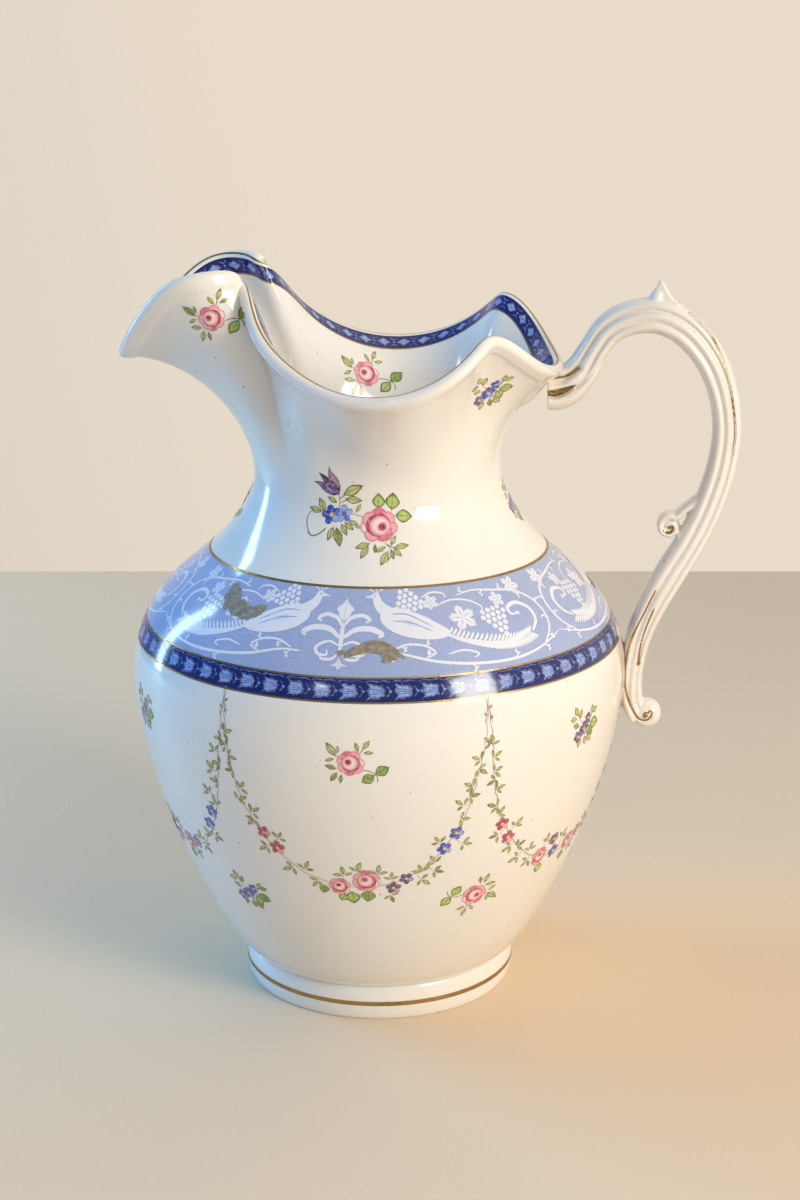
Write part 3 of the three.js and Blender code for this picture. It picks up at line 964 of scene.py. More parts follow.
def leaf(paint, place, at, degrees, length, shades=OLIVE_LEAF, plump=1.0, layer=0):
    """An outlined leaf with a midrib, from its base at `at`."""
    dark, middle, light = shades
    shape = turn_flat(LEAF * [1, 1.25 * plump], degrees, length, at)
    inner = turn_flat(LEAF * [0.82, plump] + [0.07, 0], degrees, length, at)
    paint.blob(place, shape, [(0, middle), (0.8, dark), (1, dark)], layer)
    bright = light if chance.random() < 0.75 else middle
    paint.blob(place, inner, edged(bright, middle), layer + 1)
    rib = turn_flat([[-0.08, 0], [0.3, 0.015], [0.62, 0.02], [1.04, 0]], degrees, length, at)
    paint.stroke(place, rib, [0.3, 0.26, 0.2, 0.3], dark, layer + 2)
    if length > 4.8:
        for share in (0.3, 0.48, 0.66):
            for side in (-1, 1):
                vein = [[share, 0.01 * side], [share + 0.14, 0.15 * side * plump]]
                paint.stroke(place, turn_flat(vein, degrees, length, at), 0.16, dark, layer + 2)


def leaves(paint, place, rows, shades=OLIVE_LEAF, plump=1.0):
    for at, degrees, length in rows:
        leaf(paint, place, at, degrees, length, shades, plump)


def leaf_group(paint, place, at, degrees, length):
    """Three leaflets on a short stalk."""
    at = np.asarray(at, float)
    for fan, share in ((-72, 0.8), (-4, 1.0), (66, 0.84)):
        fan += chance.uniform(-12, 12)
        base = at + 0.45 * pointing(degrees + fan)
        size = 1.16 * length * share * chance.uniform(0.88, 1.12)
        leaf(paint, place, base, degrees + fan, size, plump=0.74)


def petal_flower(paint, place, at, radius, shades, turn, heart=YELLOW_HEART):
    """A small open flower; its last petal is a shade lighter."""
    dark, middle, light = shades
    at = np.asarray(at, float)
    for k in range(PETAL_COUNT):
        angle = turn + 360 * k / PETAL_COUNT
        way = radius * pointing(angle)
        ring = ring_outline(0.44 * radius, 0.38 * radius, 12, at + 0.58 * way, angle)
        colour, edge = (light, middle) if k == PETAL_COUNT - 1 else (middle, dark)
        paint.blob(place, ring, edged(colour, edge, 0.62), FLOWER_LAYER)
        paint.stroke(place, [at + 0.3 * way, at + 0.75 * way], 0.16, edge, FLOWER_LAYER + 1)
    centre = ring_outline(0.26 * radius, None, 10, at)
    paint.blob(place, centre, edged(heart[0], heart[1], 0.6), FLOWER_LAYER + 1)


ROSE_PETALS = (  # direction, distance and size in shares of the radius, and shade
    (94, 0.5, 0.46, PINK),
    (38, 0.6, 0.38, PINK_LIGHT),
    (-12, 0.62, 0.36, BLUSH),
    (-60, 0.58, 0.4, PINK_LIGHT),
    (-112, 0.58, 0.38, PINK),
    (-160, 0.6, 0.36, PINK_LIGHT),
    (150, 0.58, 0.4, PINK_LIGHT),
)


def rose(paint, place, at, radius, turn):
    """A full-blown rose: outer petals, a pale ball in a deep crescent, and a dark heart."""
    at = np.asarray(at, float)

    def spot(x, y):
        return turn_flat([[x, y]], turn, radius, at)[0]

    for k, (degrees, distance, size, shade) in enumerate(ROSE_PETALS):
        angle = math.radians(degrees + chance.uniform(-8, 8))
        middle = spot(distance * math.cos(angle), distance * math.sin(angle))
        ring = ring_outline(0.9 * size * radius, size * radius, 14, middle, turn + degrees)
        paint.blob(place, ring, edged(shade, PINK, 0.66), FLOWER_LAYER + k % 2)
        crease = [spot(reach * math.cos(angle), reach * math.sin(angle)) for reach in (0.5, 0.72)]
        paint.stroke(place, crease, [0.16 * radius, 0.03 * radius], PINK, FLOWER_LAYER + 2)
    ring = ring_outline(0.63 * radius, 0.6 * radius, 24, spot(0.03, -0.03), turn)
    paint.blob(place, ring, [(0, RASPBERRY_DARK), (0.9, RASPBERRY), (1, PINK_DARK)], FLOWER_LAYER + 3)
    pale = ring_outline(0.53 * radius, 0.52 * radius, 22, spot(-0.04, 0.04), turn)
    paint.blob(place, pale, [(0, BLUSH), (0.62, BLUSH), (0.86, PINK_LIGHT), (1, PINK)], FLOWER_LAYER + 4)
    fold = [spot(0.4 * math.cos(a), 0.4 * math.sin(a)) for a in np.radians(range(-100, 61, 20))]
    fold_widths = [k * radius / 60 for k in (1, 3, 5, 7, 8, 7, 5, 3, 1)]
    paint.stroke(place, fold, fold_widths, PINK_LIGHT, FLOWER_LAYER + 5)
    halo = ring_outline(0.27 * radius, 0.24 * radius, 14, spot(-0.13, 0.12), turn + 30)
    paint.blob(place, halo, edged(PINK, PINK_LIGHT), FLOWER_LAYER + 6)
    core = ring_outline(0.15 * radius, 0.18 * radius, 12, spot(-0.13, 0.14), turn + 30)
    paint.blob(place, core, edged(CRIMSON, RASPBERRY, 0.75), FLOWER_LAYER + 7)


RED_PETALS = (RASPBERRY_DARK, RASPBERRY, PINK_LIGHT)
BLUE_PETALS = (BLUE_DARK, BLUE, BLUE_LIGHT)
PURPLE_PETALS = (PURPLE_DARK, PURPLE, PURPLE_LIGHT)
VIOLET_PETALS = (RASPBERRY_DARK, srgb(170, 92, 150), PURPLE_LIGHT)
PETALS = {"f": RED_PETALS, "p": PURPLE_PETALS, "b": BLUE_PETALS, "v": VIOLET_PETALS}

# ---------------------------------------------------------------- flower swags
HANG_LENGTH = 138.5
# (kind, angle from the swag's middle, length, size): l a group of leaves, g a large green
# leaf, r a rose, and small flowers: f red, p purple, b blue, v violet.
SWAG_ROSES = [
    ["l", -29, 125, 3.2], ["l", -30.3, 119.5, 3.0], ["l", -28, 115, 3.2], ["l", -29, 109, 3.4],
    ["l", -26, 104, 3.4], ["l", -27, 98.5, 3.4], ["l", -23.5, 94, 3.2], ["l", -25, 88.5, 3.4],
    ["f", -22.2, 84.8, 3.1], ["f", -19.2, 78.6, 3.4], ["l", -18, 84.4, 3.0], ["l", -23, 77.2, 3.2],
    ["l", -17, 69, 3.4], ["l", -12.4, 71.8, 3.2], ["l", -10.6, 63.4, 3.4], ["g", -8.4, 61, 4.2],
    ["g", -3.5, 57.6, 4.2], ["g", -1.0, 57.6, 6.2], ["g", 3.0, 58.6, 6.0], ["r", -4.2, 63.2, 4.5],
    ["r", 2.6, 66.2, 5.7], ["l", -3.2, 70.6, 3.6], ["l", 0.6, 72.6, 3.6], ["l", 5.6, 71.8, 3.8],
    ["l", 8.6, 68.6, 3.0], ["l", 9.4, 57.6, 3.0], ["p", 9.5, 62.8, 3.2], ["p", 12.6, 67.2, 3.0],
    ["l", 16, 71.8, 3.4], ["l", 17.4, 65.4, 3.4], ["l", 20.4, 69.4, 3.0], ["l", 19, 75.4, 3.2],
    ["b", 21.4, 80.4, 3.2], ["b", 24, 87, 3.2], ["l", 19.4, 84.6, 3.0], ["l", 27, 81, 3.2],
    ["l", 25.6, 93, 3.2], ["l", 24, 100, 3.2], ["l", 27.2, 102.5, 3.2], ["l", 26, 107.5, 3.2],
    ["l", 28.5, 112.5, 3.2], ["l", 27.3, 118, 3.0], ["l", 29.6, 124, 3.0],
]
SWAG_POSY = [
    ["l", -29, 124, 3.0], ["l", -28, 118.5, 3.0], ["l", -27.5, 112.5, 3.2], ["l", -28.7, 107, 3.2],
    ["l", -26.5, 104.5, 3.2], ["l", -27.7, 96.5, 3.4], ["l", -25.2, 93.5, 3.2],
    ["f", -24.3, 87.6, 3.2], ["f", -21.8, 80.6, 3.3], ["l", -26, 82, 3.2], ["l", -19.6, 86.5, 3.2],
    ["l", -21.4, 75, 3.4], ["l", -17, 75.5, 3.4], ["l", -18, 68.4, 3.4], ["l", -13, 72.5, 3.2],
    ["l", -13.4, 64, 3.4], ["g", -6.6, 58.6, 4.8], ["r", -8, 65, 4.7], ["p", -3.6, 71, 3.2],
    ["b", -1.8, 64.4, 3.4], ["l", -6.6, 73, 3.2], ["l", 1.0, 71.6, 3.2], ["g", 4.4, 58.8, 4.6],
    ["r", 5.4, 65.4, 4.6], ["v", 10.4, 67.4, 3.3], ["l", 9.4, 60.6, 3.2], ["l", 13.6, 72.6, 3.2],
    ["l", 16, 67, 3.4], ["l", 18, 76, 3.4], ["l", 22.4, 75.4, 3.2], ["b", 20.4, 81.4, 3.2],
    ["b", 22.6, 88, 3.2], ["l", 24.2, 93.6, 3.2], ["l", 22.6, 98, 3.2], ["l", 26, 102.5, 3.2],
    ["l", 25, 108.5, 3.2], ["l", 27.5, 111, 3.2], ["l", 26.6, 117, 3.0], ["l", 28.6, 121.6, 3.0],
]
SWAG_LINE = through(
    [
        [-30, 138.5], [-29.2, 125], [-28.3, 110], [-26, 95], [-21.6, 82], [-15.6, 71.5], [-8, 65],
        [0, 63], [8, 64.5], [15.6, 70.5], [21.4, 81], [25.2, 92], [27.4, 107], [29.2, 124],
        [30, 138.5],
    ],
    8,
)


def swag(paint, middle, items):
    """Flowers and leaves hung between two points 30 degrees either side of `middle`."""
    angles, lengths = SWAG_LINE.T
    flat = np.stack([np.radians(angles) * outline_at(lengths)[0], lengths], 1)

    def strand(p, q, lift):
        radius = outline_at(q)[0]
        return body_at(middle + np.degrees(p / radius), q, lift)

    wobble = np.stack([0.35 * np.sin(flat[:, 1] * 0.9), 0.2 * np.sin(flat[:, 1] * 0.7)], 1)
    stem = STEM_GREY if items is SWAG_POSY else STEM
    paint.stroke(strand, flat + wobble, 0.32, stem, 0, False)
    for kind, angle, length, size in items:
        at = np.array([math.radians(angle) * outline_at(length)[0], length])
        gap = flat - at
        nearest = int(np.argmin((gap**2).sum(axis=1)))
        away = at - flat[nearest]
        run = flat[min(nearest + 1, len(flat) - 1)] - flat[max(nearest - 1, 0)]
        run /= np.linalg.norm(run)
        if np.linalg.norm(away) < 0.7:
            away = np.array([-run[1], run[0]]) * chance.choice((-1, 1))
        away = away / np.linalg.norm(away)
        place = on_body(middle + angle, length)
        if kind == "l":
            down = -run if run[1] > 0 else run
            way = away - 0.35 * down
            degrees = math.degrees(math.atan2(way[1], way[0]))
            foot = at - way / np.linalg.norm(way) * size * 0.55
            leaf_group(paint, place, foot - at, degrees, size)
            join = [flat[nearest] - at, (flat[nearest] - at) * 0.4 + 0.6 * (foot - at), foot - at]
            paint.stroke(place, join, 0.26, OLIVE, 0)
        elif kind == "g":
            degrees = math.degrees(math.atan2(away[1], away[0])) + chance.uniform(-20, 20)
            start = -0.5 * size * pointing(degrees)
            leaf(paint, place, start, degrees, size, GREEN_LEAF, 1.5, 1)
        elif kind == "r":
            rose(paint, place, (0, 0), size, chance.uniform(-40, 40))
        else:
            turn = chance.uniform(0, 72)
            petal_flower(paint, place, (0, 0), size * 0.92, PETALS[kind], turn)


HANGING_STEM = [[0.35, 3.2], [0.45, 1.2], [0.1, -1.6], [0.9, -4.4], [1.5, -8]]


def hanging_points(paint):
    """The short double stems each pair of swags hangs from."""
    for k in range(6):
        place = on_body(30 + 60 * k, HANG_LENGTH)
        for side in (-1, 1):
            line = through(HANGING_STEM, 4) * [side, 1]
            paint.stroke(place, line, 0.3, STEM if side > 0 else STEM_GREY, 0)
        for q, side in ((-2.4, 1), (-5, -1), (-6.4, 1)):
            leaf(paint, place, (0.4 * side, q), 90 - 50 * side, 1.7)


# ---------------------------------------------------------------- sprigs
ROSE_SPRIG_LEAVES = (  # foot, direction and length of each
    ((-5.0, 4.0), 124, 6.1), ((-4.4, 5.0), 84, 3.0), ((-5.6, 2.9), 196, 3.4),
    ((-4.8, -1.0), 164, 4.4), ((-4.5, -2.4), 235, 4.6), ((-3.0, -3.2), 262, 3.6),
    ((3.2, 6.0), 108, 3.6), ((4.8, 6.9), 53, 4.2), ((5.2, 5.6), -2, 3.4),
)


def rose_sprig(paint, place):
    for line in (
        [[-4.6, 4.4], [-3.6, 3.2], [-2.6, 2.6]],
        [[5.4, 8.2], [4.6, 6.4], [3.4, 4.8]],
        [[4.6, -1.2], [7.2, -1.6], [9.4, -3.0], [10.2, -4.8], [9.9, -6.4]],
    ):
        paint.stroke(place, through(line, 5), 0.36, STEM_BROWN, 0)
    rose(paint, place, (0.4, 1.4), 5.5, 15)
    leaves(paint, place, ROSE_SPRIG_LEAVES, plump=0.74)
    leaves(paint, place, (((9.0, -3.2), 213, 5.6), ((9.2, -2.8), 29, 5.8)), GREEN_LEAF, 1.2)


BLUE_SPRIG_LEAVES = (  # foot, direction and length of each
    ((-4, 6), 120, 4.2), ((-5, 5), 175, 3.8), ((-3, 4.6), 70, 3.8), ((-3.4, 1.6), 160, 3.8),
    ((1.0, -3.2), 285, 4.0), ((2.6, -3.4), 320, 4.4), ((-1.6, -3.6), 250, 3.8),
    ((5.6, 5.0), 20, 3.8), ((5, 4.6), 75, 3.6),
)


def blue_sprig(paint, place, petals=BLUE_PETALS):
    paint.stroke(place, through([[-5.6, 8.4], [-3, 4.6], [0.4, 0.4], [3.6, -4.2]], 5), 0.3, STEM, 0)
    paint.stroke(place, through([[-0.6, 1.6], [3, 2.8], [6.4, 5.6]], 5), 0.28, OLIVE, 0)
    petal_flower(paint, place, (0, 0), 3.0, petals, 20)
    petal_flower(paint, place, (-3.6, -2.4), 2.5, PURPLE_PETALS, 50)
    petal_flower(paint, place, (2.6, 3.6), 2.3, petals, 80)
    leaves(paint, place, BLUE_SPRIG_LEAVES)
    leaves(paint, place, (((4.2, 1.2), 350, 6.2), ((3.4, 0.4), 300, 5.4)), GREEN_LEAF, 1.2)


TULIP_PETALS = (  # both sides of each petal, from the base and from the tip; shade and layer
    (
        [[0, 0], [0.18, 0.22], [0.46, 0.34], [0.76, 0.36]],
        [[0.98, 0.42], [0.78, 0.22], [0.4, 0.04]],
        PURPLE,
        1,
    ),
    ([[0, 0], [0.3, 0.12], [0.72, 0.14]], [[1.1, 0.08], [0.72, -0.06], [0.3, -0.08]], PURPLE_DARK, 1),
    (
        [[0, 0], [0.16, -0.2], [0.46, -0.31], [0.76, -0.29]],
        [[0.98, -0.34], [0.76, -0.12], [0.4, 0.04]],
        MAUVE,
        2,
    ),
    ([[0, 0], [0.14, 0.2], [0.42, 0.3]], [[0.82, 0.1], [0.5, -0.13], [0.16, -0.13]], PURPLE, 3),
)


def tulip(paint, place, at, degrees, length):
    """A closed purple tulip, from its base: side and back petals behind the front one."""
    for one_side, other_side, shade, layer in TULIP_PETALS:
        away = through(one_side + other_side[:1], 4)
        back = through(other_side + [[0, 0]], 4)
        outline = turn_flat(np.vstack([away, back[1:-1]]), degrees, length, at)
        paint.blob(place, outline, edged(shade, PURPLE_DARK, 0.55), layer)
    for q in (-0.06, 0.08, 0.2):
        vein = through([[0.06, 0.04 + q * 0.2], [0.34, 0.02 + q], [0.66, 0.08 + q * 0.4]], 4)
        paint.stroke(place, turn_flat(vein, degrees, length, at), 0.2, PURPLE_DARK, 4)
    shine = through([[0.2, 0.1], [0.44, 0.16], [0.64, 0.13]], 4)
    shine_widths = [0.2, 0.5, 0.6, 0.6, 0.5, 0.4, 0.3, 0.2, 0.1]
    paint.stroke(place, turn_flat(shine, degrees, length, at), shine_widths, PURPLE_LIGHT, 5)


BOUQUET_LEAVES = (  # foot, direction and length of each
    ((-4.4, 9.2), 24, 8.2), ((-3.6, 7.6), -4, 6.4), ((-6.8, 6.2), 148, 4.2),
    ((-11.2, 3.2), 118, 5.6), ((-12.6, 2.8), 158, 5.2), ((-7.6, -2.8), 252, 5.6),
    ((-6.4, -3), 286, 7.6), ((-4.6, -1.6), 300, 5.0), ((-3.4, -1.0), 322, 4.6),
    ((-2.0, -0.4), 340, 4.2), ((0.6, 2.8), 62, 3.6), ((0.2, -1.6), 330, 3.0),
    ((6.6, -8.6), 202, 5.6), ((6.2, -9.4), 246, 5.8), ((8.6, -8.8), 275, 3.4),
    ((14.4, -8.8), 72, 4.2), ((15.6, -9.4), 14, 5.4), ((15.4, -9.8), 318, 4.4),
    ((14.6, -10.4), 290, 4.0), ((13.6, -11), 250, 6.2), ((12.6, -9.4), 214, 4.4),
)


def bouquet(paint, place):
    """The large spray on the neck, drawn round the middle between its two flowers."""
    for line, width in (
        ([[-15.5, 4.3], [-17.8, 1.9], [-18.2, -1.2], [-17, -5]], 0.3),
        ([[-17.6, -4.6], [-15.6, -6.2], [-12.8, -5.4], [-10.4, -3.2]], 0.5),
        ([[-6.0, 9.2], [-5.6, 5.8], [-6.6, 2]], 0.4),
        ([[-6, 7.6], [-3, 9.4], [0, 11]], 0.3),
        ([[-5.4, 6.2], [-2, 7.6], [1, 8]], 0.3),
        ([[-2, 2.6], [2, 1.6], [5, 0.6]], 0.36),
        ([[12, -8], [15.6, -9.6], [19.4, -8.6]], 0.3),
        ([[13, -8.6], [15, -11.4], [13.6, -15.6]], 0.3),
        ([[-15.2, 4.2], [-12.4, 3.4], [-9.6, 2]], 0.3),
    ):
        paint.stroke(place, through(line, 5), width, STEM if 0.31 < width < 0.45 else OLIVE_DARK, 0)
    leaves(paint, place, BOUQUET_LEAVES, plump=0.72)
    rose_leaves = (((8.9, 4.6), 92, 5.6), ((13.6, 4.6), 86, 6.2), ((15, 2.6), 2, 6))
    leaves(paint, place, rose_leaves, GREEN_LEAF, 1.35)
    tulip(paint, place, (-6.0, 9.2), 131, 10.4)
    petal_flower(paint, place, (-8.6, 1.8), 3.7, BLUE_PETALS, 30)
    petal_flower(paint, place, (-3.8, 2.2), 3.4, (BLUE, BLUE_LIGHT, BLUE), 20, BLUE_HEART)
    rose(paint, place, (9.4, -1.6), 7.3, 205)


flowers = Paint("enamelled_flowers", ENAMEL)
for k in range(3):
    swag(flowers, 120 * k, SWAG_ROSES)
    swag(flowers, 60 + 120 * k, SWAG_POSY)
    rose_sprig(flowers, on_body(120 * k - 0.4, 117))
    blue_sprig(flowers, on_body(60 + 120 * k - 2, 118.5), PURPLE_PETALS)
    blue_sprig(flowers, on_body(120 * k - 33, 50.5, -8))
    rose_sprig(flowers, on_body(120 * k + 32, 56, 200))
hanging_points(flowers)
for draw, target, outward, turn in (
    (bouquet, (-4.0, -50.1, 200.6), (0, -1, 0.2), 0),
    (bouquet, (4.0, 50.1, 200.6), (0, 1, 0.2), 0),
    (blue_sprig, (44.4, -39.7, 247.0), (0.7, -0.7, -0.3), 10),
    (blue_sprig, (44.4, 39.7, 247.0), (0.7, 0.7, -0.3), 10),
    (rose_sprig, (-58.0, -35.2, 270.8), (0, -1, 0), 20),
    (rose_sprig, (-58.0, 35.2, 270.8), (0, 1, 0), -20),
    (blue_sprig, (52.5, -2, 196.5), (1, 0, 0.1), -30),
    (rose_sprig, (-52, 0, 196.5), (-1, 0, 0.1), -10),
):
    draw(flowers, on_wall(neck_tree, target, outward, turn))
flowers.piece("enamel")

# ---------------------------------------------------------------- printed band and frieze
BAND_LOW, BAND_HIGH = 141.0, 149.3
FRIEZE_LOW, FRIEZE_HIGH = 149.3, 186.2
BELL_PITCH = 6.0  # degrees
FRIEZE_MIDDLE = -3.5  # angle of the first palmette
FRIEZE_SCALE = 1.42  # millimetres to a degree, at the middle of the frieze
THIN = 0.3  # width of a stem's ends

BAND_PALE = srgb(138, 164, 218)
BAND_MIDDLE = srgb(52, 78, 168)
BAND_DARK = srgb(10, 16, 70)
CREAM = srgb(232, 232, 238)
CREAM_SHADE = srgb(198, 206, 232)
GROUND = srgb(146, 164, 218)


def sheet(name, place_at, rows, columns, material, slot):
    """A thin skin of points place_at(share of the way round, share of the way up)."""
    points = [place_at(j / columns, i / rows) for i in range(rows + 1) for j in range(columns)]
    faces = grid_faces(rows + 1, columns, close_columns=True)
    return finished(new_piece(name, points, faces, material, 180), slot)


def band_sheet(name, low, high, lift, material, slot, rows=8):
    def place_at(around, up):
        return body_at(np.array(360 * around), np.array(low + (high - low) * up), lift)[0]

    return sheet(name, place_at, rows, 360, material, slot)


def bells(paint):
    """Sideways bells in a row, each in its own dark cell with a dot behind it."""
    cup = [[2.6, 0], [2.2, 1.5], [0.6, 2.2], [-1.6, 2.3], [-3.4, 2.7], [-2.5, 1.4], [-3.6, 0]]
    cup = through(cup, 3)
    cup = np.vstack([cup, cup[-2:0:-1] * [1, -1]])
    for k in range(round(360 / BELL_PITCH)):
        place = on_body(BELL_PITCH * k - 0.5, (BAND_LOW + BAND_HIGH) / 2 - 0.3)
        paint.blob(place, cup * [1.18, 1.22], even(BAND_DARK), 0, (0, 0))
        paint.blob(place, cup, edged(BAND_PALE, BAND_MIDDLE, 0.6), 1, (0, 0))
        for side in (-1, 0, 1):
            vein = through([[2.0, 0.5 * side], [0, 0.75 * side], [-2.4, 0.85 * side]], 3)
            paint.stroke(place, vein, 0.3, BAND_MIDDLE, 2)
        cap = through([[3.3, -1.9], [4.3, -1.0], [4.3, 1.0], [3.3, 1.9]], 3)
        paint.stroke(place, cap, 0.5, BAND_MIDDLE, 1)
        paint.blob(place, ring_outline(0.5, 0.5, 8, (4.95, 0)), [(0, BAND_PALE), (1, BAND_MIDDLE)], 1)
        arch = through([[-4.6, 3.3], [-2.6, 3.9], [0, 3.6], [2.6, 3.9], [4.8, 3.3]], 3)
        paint.stroke(place, arch, 0.4, BAND_MIDDLE, 1)


def frieze_place(middle, side):
    """A place where p is an angle from the palmette and q a length along the outline."""

    def place(p, q, lift):
        return body_at(middle + side * p / FRIEZE_SCALE, q, lift)

    return place


def spread(points):
    """Frieze points (angle, length) with the angle in millimetres."""
    return np.asarray(points, float) * [FRIEZE_SCALE, 1]


def vine_leaf(paint, place, at, degrees, size):
    """A five-lobed leaf with its veins left in the ground colour."""
    outline = []
    for degree in range(0, 360, 12):
        lobe = abs(math.cos(math.radians(degree * 2.5)))
        reach = 0.52 + 0.48 * lobe**0.8 + 0.05 * math.cos(math.radians(degree * 15))
        outline.append(reach * pointing(degree))
    shape = turn_flat(outline, degrees, size, at)
    paint.blob(place, shape, edged(CREAM, CREAM_SHADE, 0.8), 1)
    for k in range(5):
        vein = turn_flat([[0.08, 0], [0.4, 0.02], [0.78, 0]], degrees + 72 * k, size, at)
        paint.stroke(place, vein, 0.3, GROUND, 2)


def grapes(paint, place, at, degrees, size):
    """A bunch of round grapes in rows."""
    for row, count in enumerate((4, 5, 4, 3, 2, 1)):
        for k in range(count):
            spot = turn_flat([[row * 1.5, (k - (count - 1) / 2) * 1.7]], degrees, size, at)[0]
            spot += [chance.uniform(-0.15, 0.15), chance.uniform(-0.15, 0.15)]
            grape = ring_outline(0.78 * size, None, 9, spot)
            paint.blob(place, grape, edged(CREAM, CREAM_SHADE), 1)


def tapered(count, thick):
    """Widths of a line that swells in the middle."""
    return THIN + (thick - THIN) * np.sin(np.linspace(0.12, 1, count) * math.pi * 0.95)


def curl(paint, place, points, thick):
    line = through(spread(points), 6)
    paint.stroke(place, line, tapered(len(line), thick), CREAM, 1)
    return line


def palmette(paint, place):
    """Half of the upright ornament in the middle of each repeat."""
    leaf_edge = [[0, 182], [0.9, 179.6], [2.6, 177.2], [1.8, 175.4], [1.5, 173.4], [0, 171.4]]
    shape = through(spread(leaf_edge), 3)
    paint.blob(place, shape, edged(CREAM, CREAM_SHADE), 1, spread([0.6, 176]))
    for points, thick in (
        ([[0.3, 169.6], [1.8, 173.0], [4.8, 174.4], [7, 172.6], [5.8, 171.2]], 1.7),
        ([[0.4, 164.6], [3.4, 168.2], [7.4, 168.6], [10.2, 166.4], [9.2, 165]], 2.4),
        ([[0.4, 161.6], [3, 163.2], [5.8, 161], [5.4, 158.2], [3.2, 157.8], [3.2, 159.8]], 1.2),
        ([[0.4, 158.4], [1.8, 156.4], [4, 156.2], [4.8, 157.4]], 1.1),
        ([[0, 171.6], [0.15, 166], [0.1, 158]], 1.3),
    ):
        curl(paint, place, points, thick)
    tip = spread([[0, 152.2], [0.7, 153.6], [2.2, 153.8], [0.8, 154.8], [0, 157.2]])
    paint.blob(place, tip, [(0, CREAM), (1, CREAM_SHADE)], 1, spread([0.3, 154.4]))


BIRD_BODY = [
    [11, 177.2], [15.5, 177.4], [20.5, 174.6], [25, 170.2], [28, 165.8], [24.6, 163.6],
    [18.5, 164.4], [13, 167.4], [9.8, 172.4],
]


def long_tailed_bird(paint, place):
    """A plain stylised bird seen from the side, with a long barbed tail."""
    neck = through(spread([[8.6, 182.6], [9.4, 179.4], [11.4, 176.2], [14.4, 173.6]]), 6)
    paint.stroke(place, neck, np.linspace(2.9, 6.4, len(neck)), CREAM, 2, False)
    shape = through(spread(BIRD_BODY), 4, True)
    paint.blob(place, shape, [(0, CREAM_SHADE), (0.3, CREAM), (1, CREAM)], 3, spread([17.5, 171]))
    head = ring_outline(1.75, 1.55, 14, spread([8.5, 182.7]))
    paint.blob(place, head, even(CREAM), 3)
    beak = spread([[7.6, 183.5], [5.0, 182.4], [7.5, 181.9]])
    paint.blob(place, beak, even(CREAM), 2)
    eye = ring_outline(0.4, None, 8, spread([8.3, 182.9]))
    paint.blob(place, eye, even(GROUND), 4)
    for tip in ([6.4, 185.7], [8.6, 186], [10.8, 185.8]):
        crest = through(spread([[8.7, 183.6], [(8.7 + tip[0]) / 2, 185.2], tip]), 3)
        paint.stroke(place, crest, [0.3, 0.35, 0.4, 0.45, 0.55, 0.6, 0.5], CREAM, 2)
    for points in ([[12.6, 175], [17.6, 174.4], [24, 168.4]], [[13, 172], [18, 171], [23.4, 166.8]]):
        feather = through(spread(points), 4)
        paint.stroke(place, feather, tapered(len(feather), 0.55), GROUND, 4)
    quill = curl(paint, place, [[25, 166.4], [31, 162.4], [38, 159.6], [44.6, 159.2], [50.4, 161]], 1.6)
    for k in range(2, len(quill) - 1):
        share = k / len(quill)
        foot = quill[k]
        length = 4.6 - 2.2 * abs(share - 0.4)
        for side, slant in ((1, 0.5), (-1, 0.85)):
            tip = foot + [length * slant * 1.3, side * length * 0.75]
            barb = through([foot, (foot + tip) / 2 + [0.4, 0.1 * side], tip], 3)
            paint.stroke(place, barb, [0.4, 0.7, 0.9, 1.0, 0.9, 0.7, 0.4], CREAM, 1)


def hooks(paint, place, line, every, length):
    """Little leafy tendrils along a stem, on alternate sides."""
    for n, k in enumerate(range(every // 2, len(line) - 1, every)):
        run = line[k + 1] - line[k]
        run = run / np.linalg.norm(run)
        side = np.array([-run[1], run[0]]) * (1 if n % 2 else -1)
        foot = line[k]
        bend = foot + run * length * 0.5 + side * length * 0.55
        hook = [foot, bend, foot + run * length * 0.35 + side * length]
        paint.stroke(place, through(hook, 4), 0.45, CREAM, 1)
        for reach in (0.55, 1.0):
            tip = foot + run * length * (0.9 - 0.5 * reach) + side * length * reach
            paint.blob(place, ring_outline(0.75, 0.45, 8, tip, 40 * reach), even(CREAM), 1)


LOWER_STEM = [
    [9.5, 158.6], [15, 158.4], [23, 155], [33, 152.8], [43, 152.4], [51, 154.2], [60, 158.4],
]
RISING_STEM = [
    [53, 155], [57, 160.4], [58.6, 167.4], [57, 174.6], [52.6, 179.2], [46, 181.2], [39, 182.6],
    [33, 181.4],
]
END_SCROLL = [
    [51, 160.8], [54, 165], [54.2, 170.2], [51, 173.8], [47.4, 172.6], [47.4, 169.6], [49.6, 169.4],
]


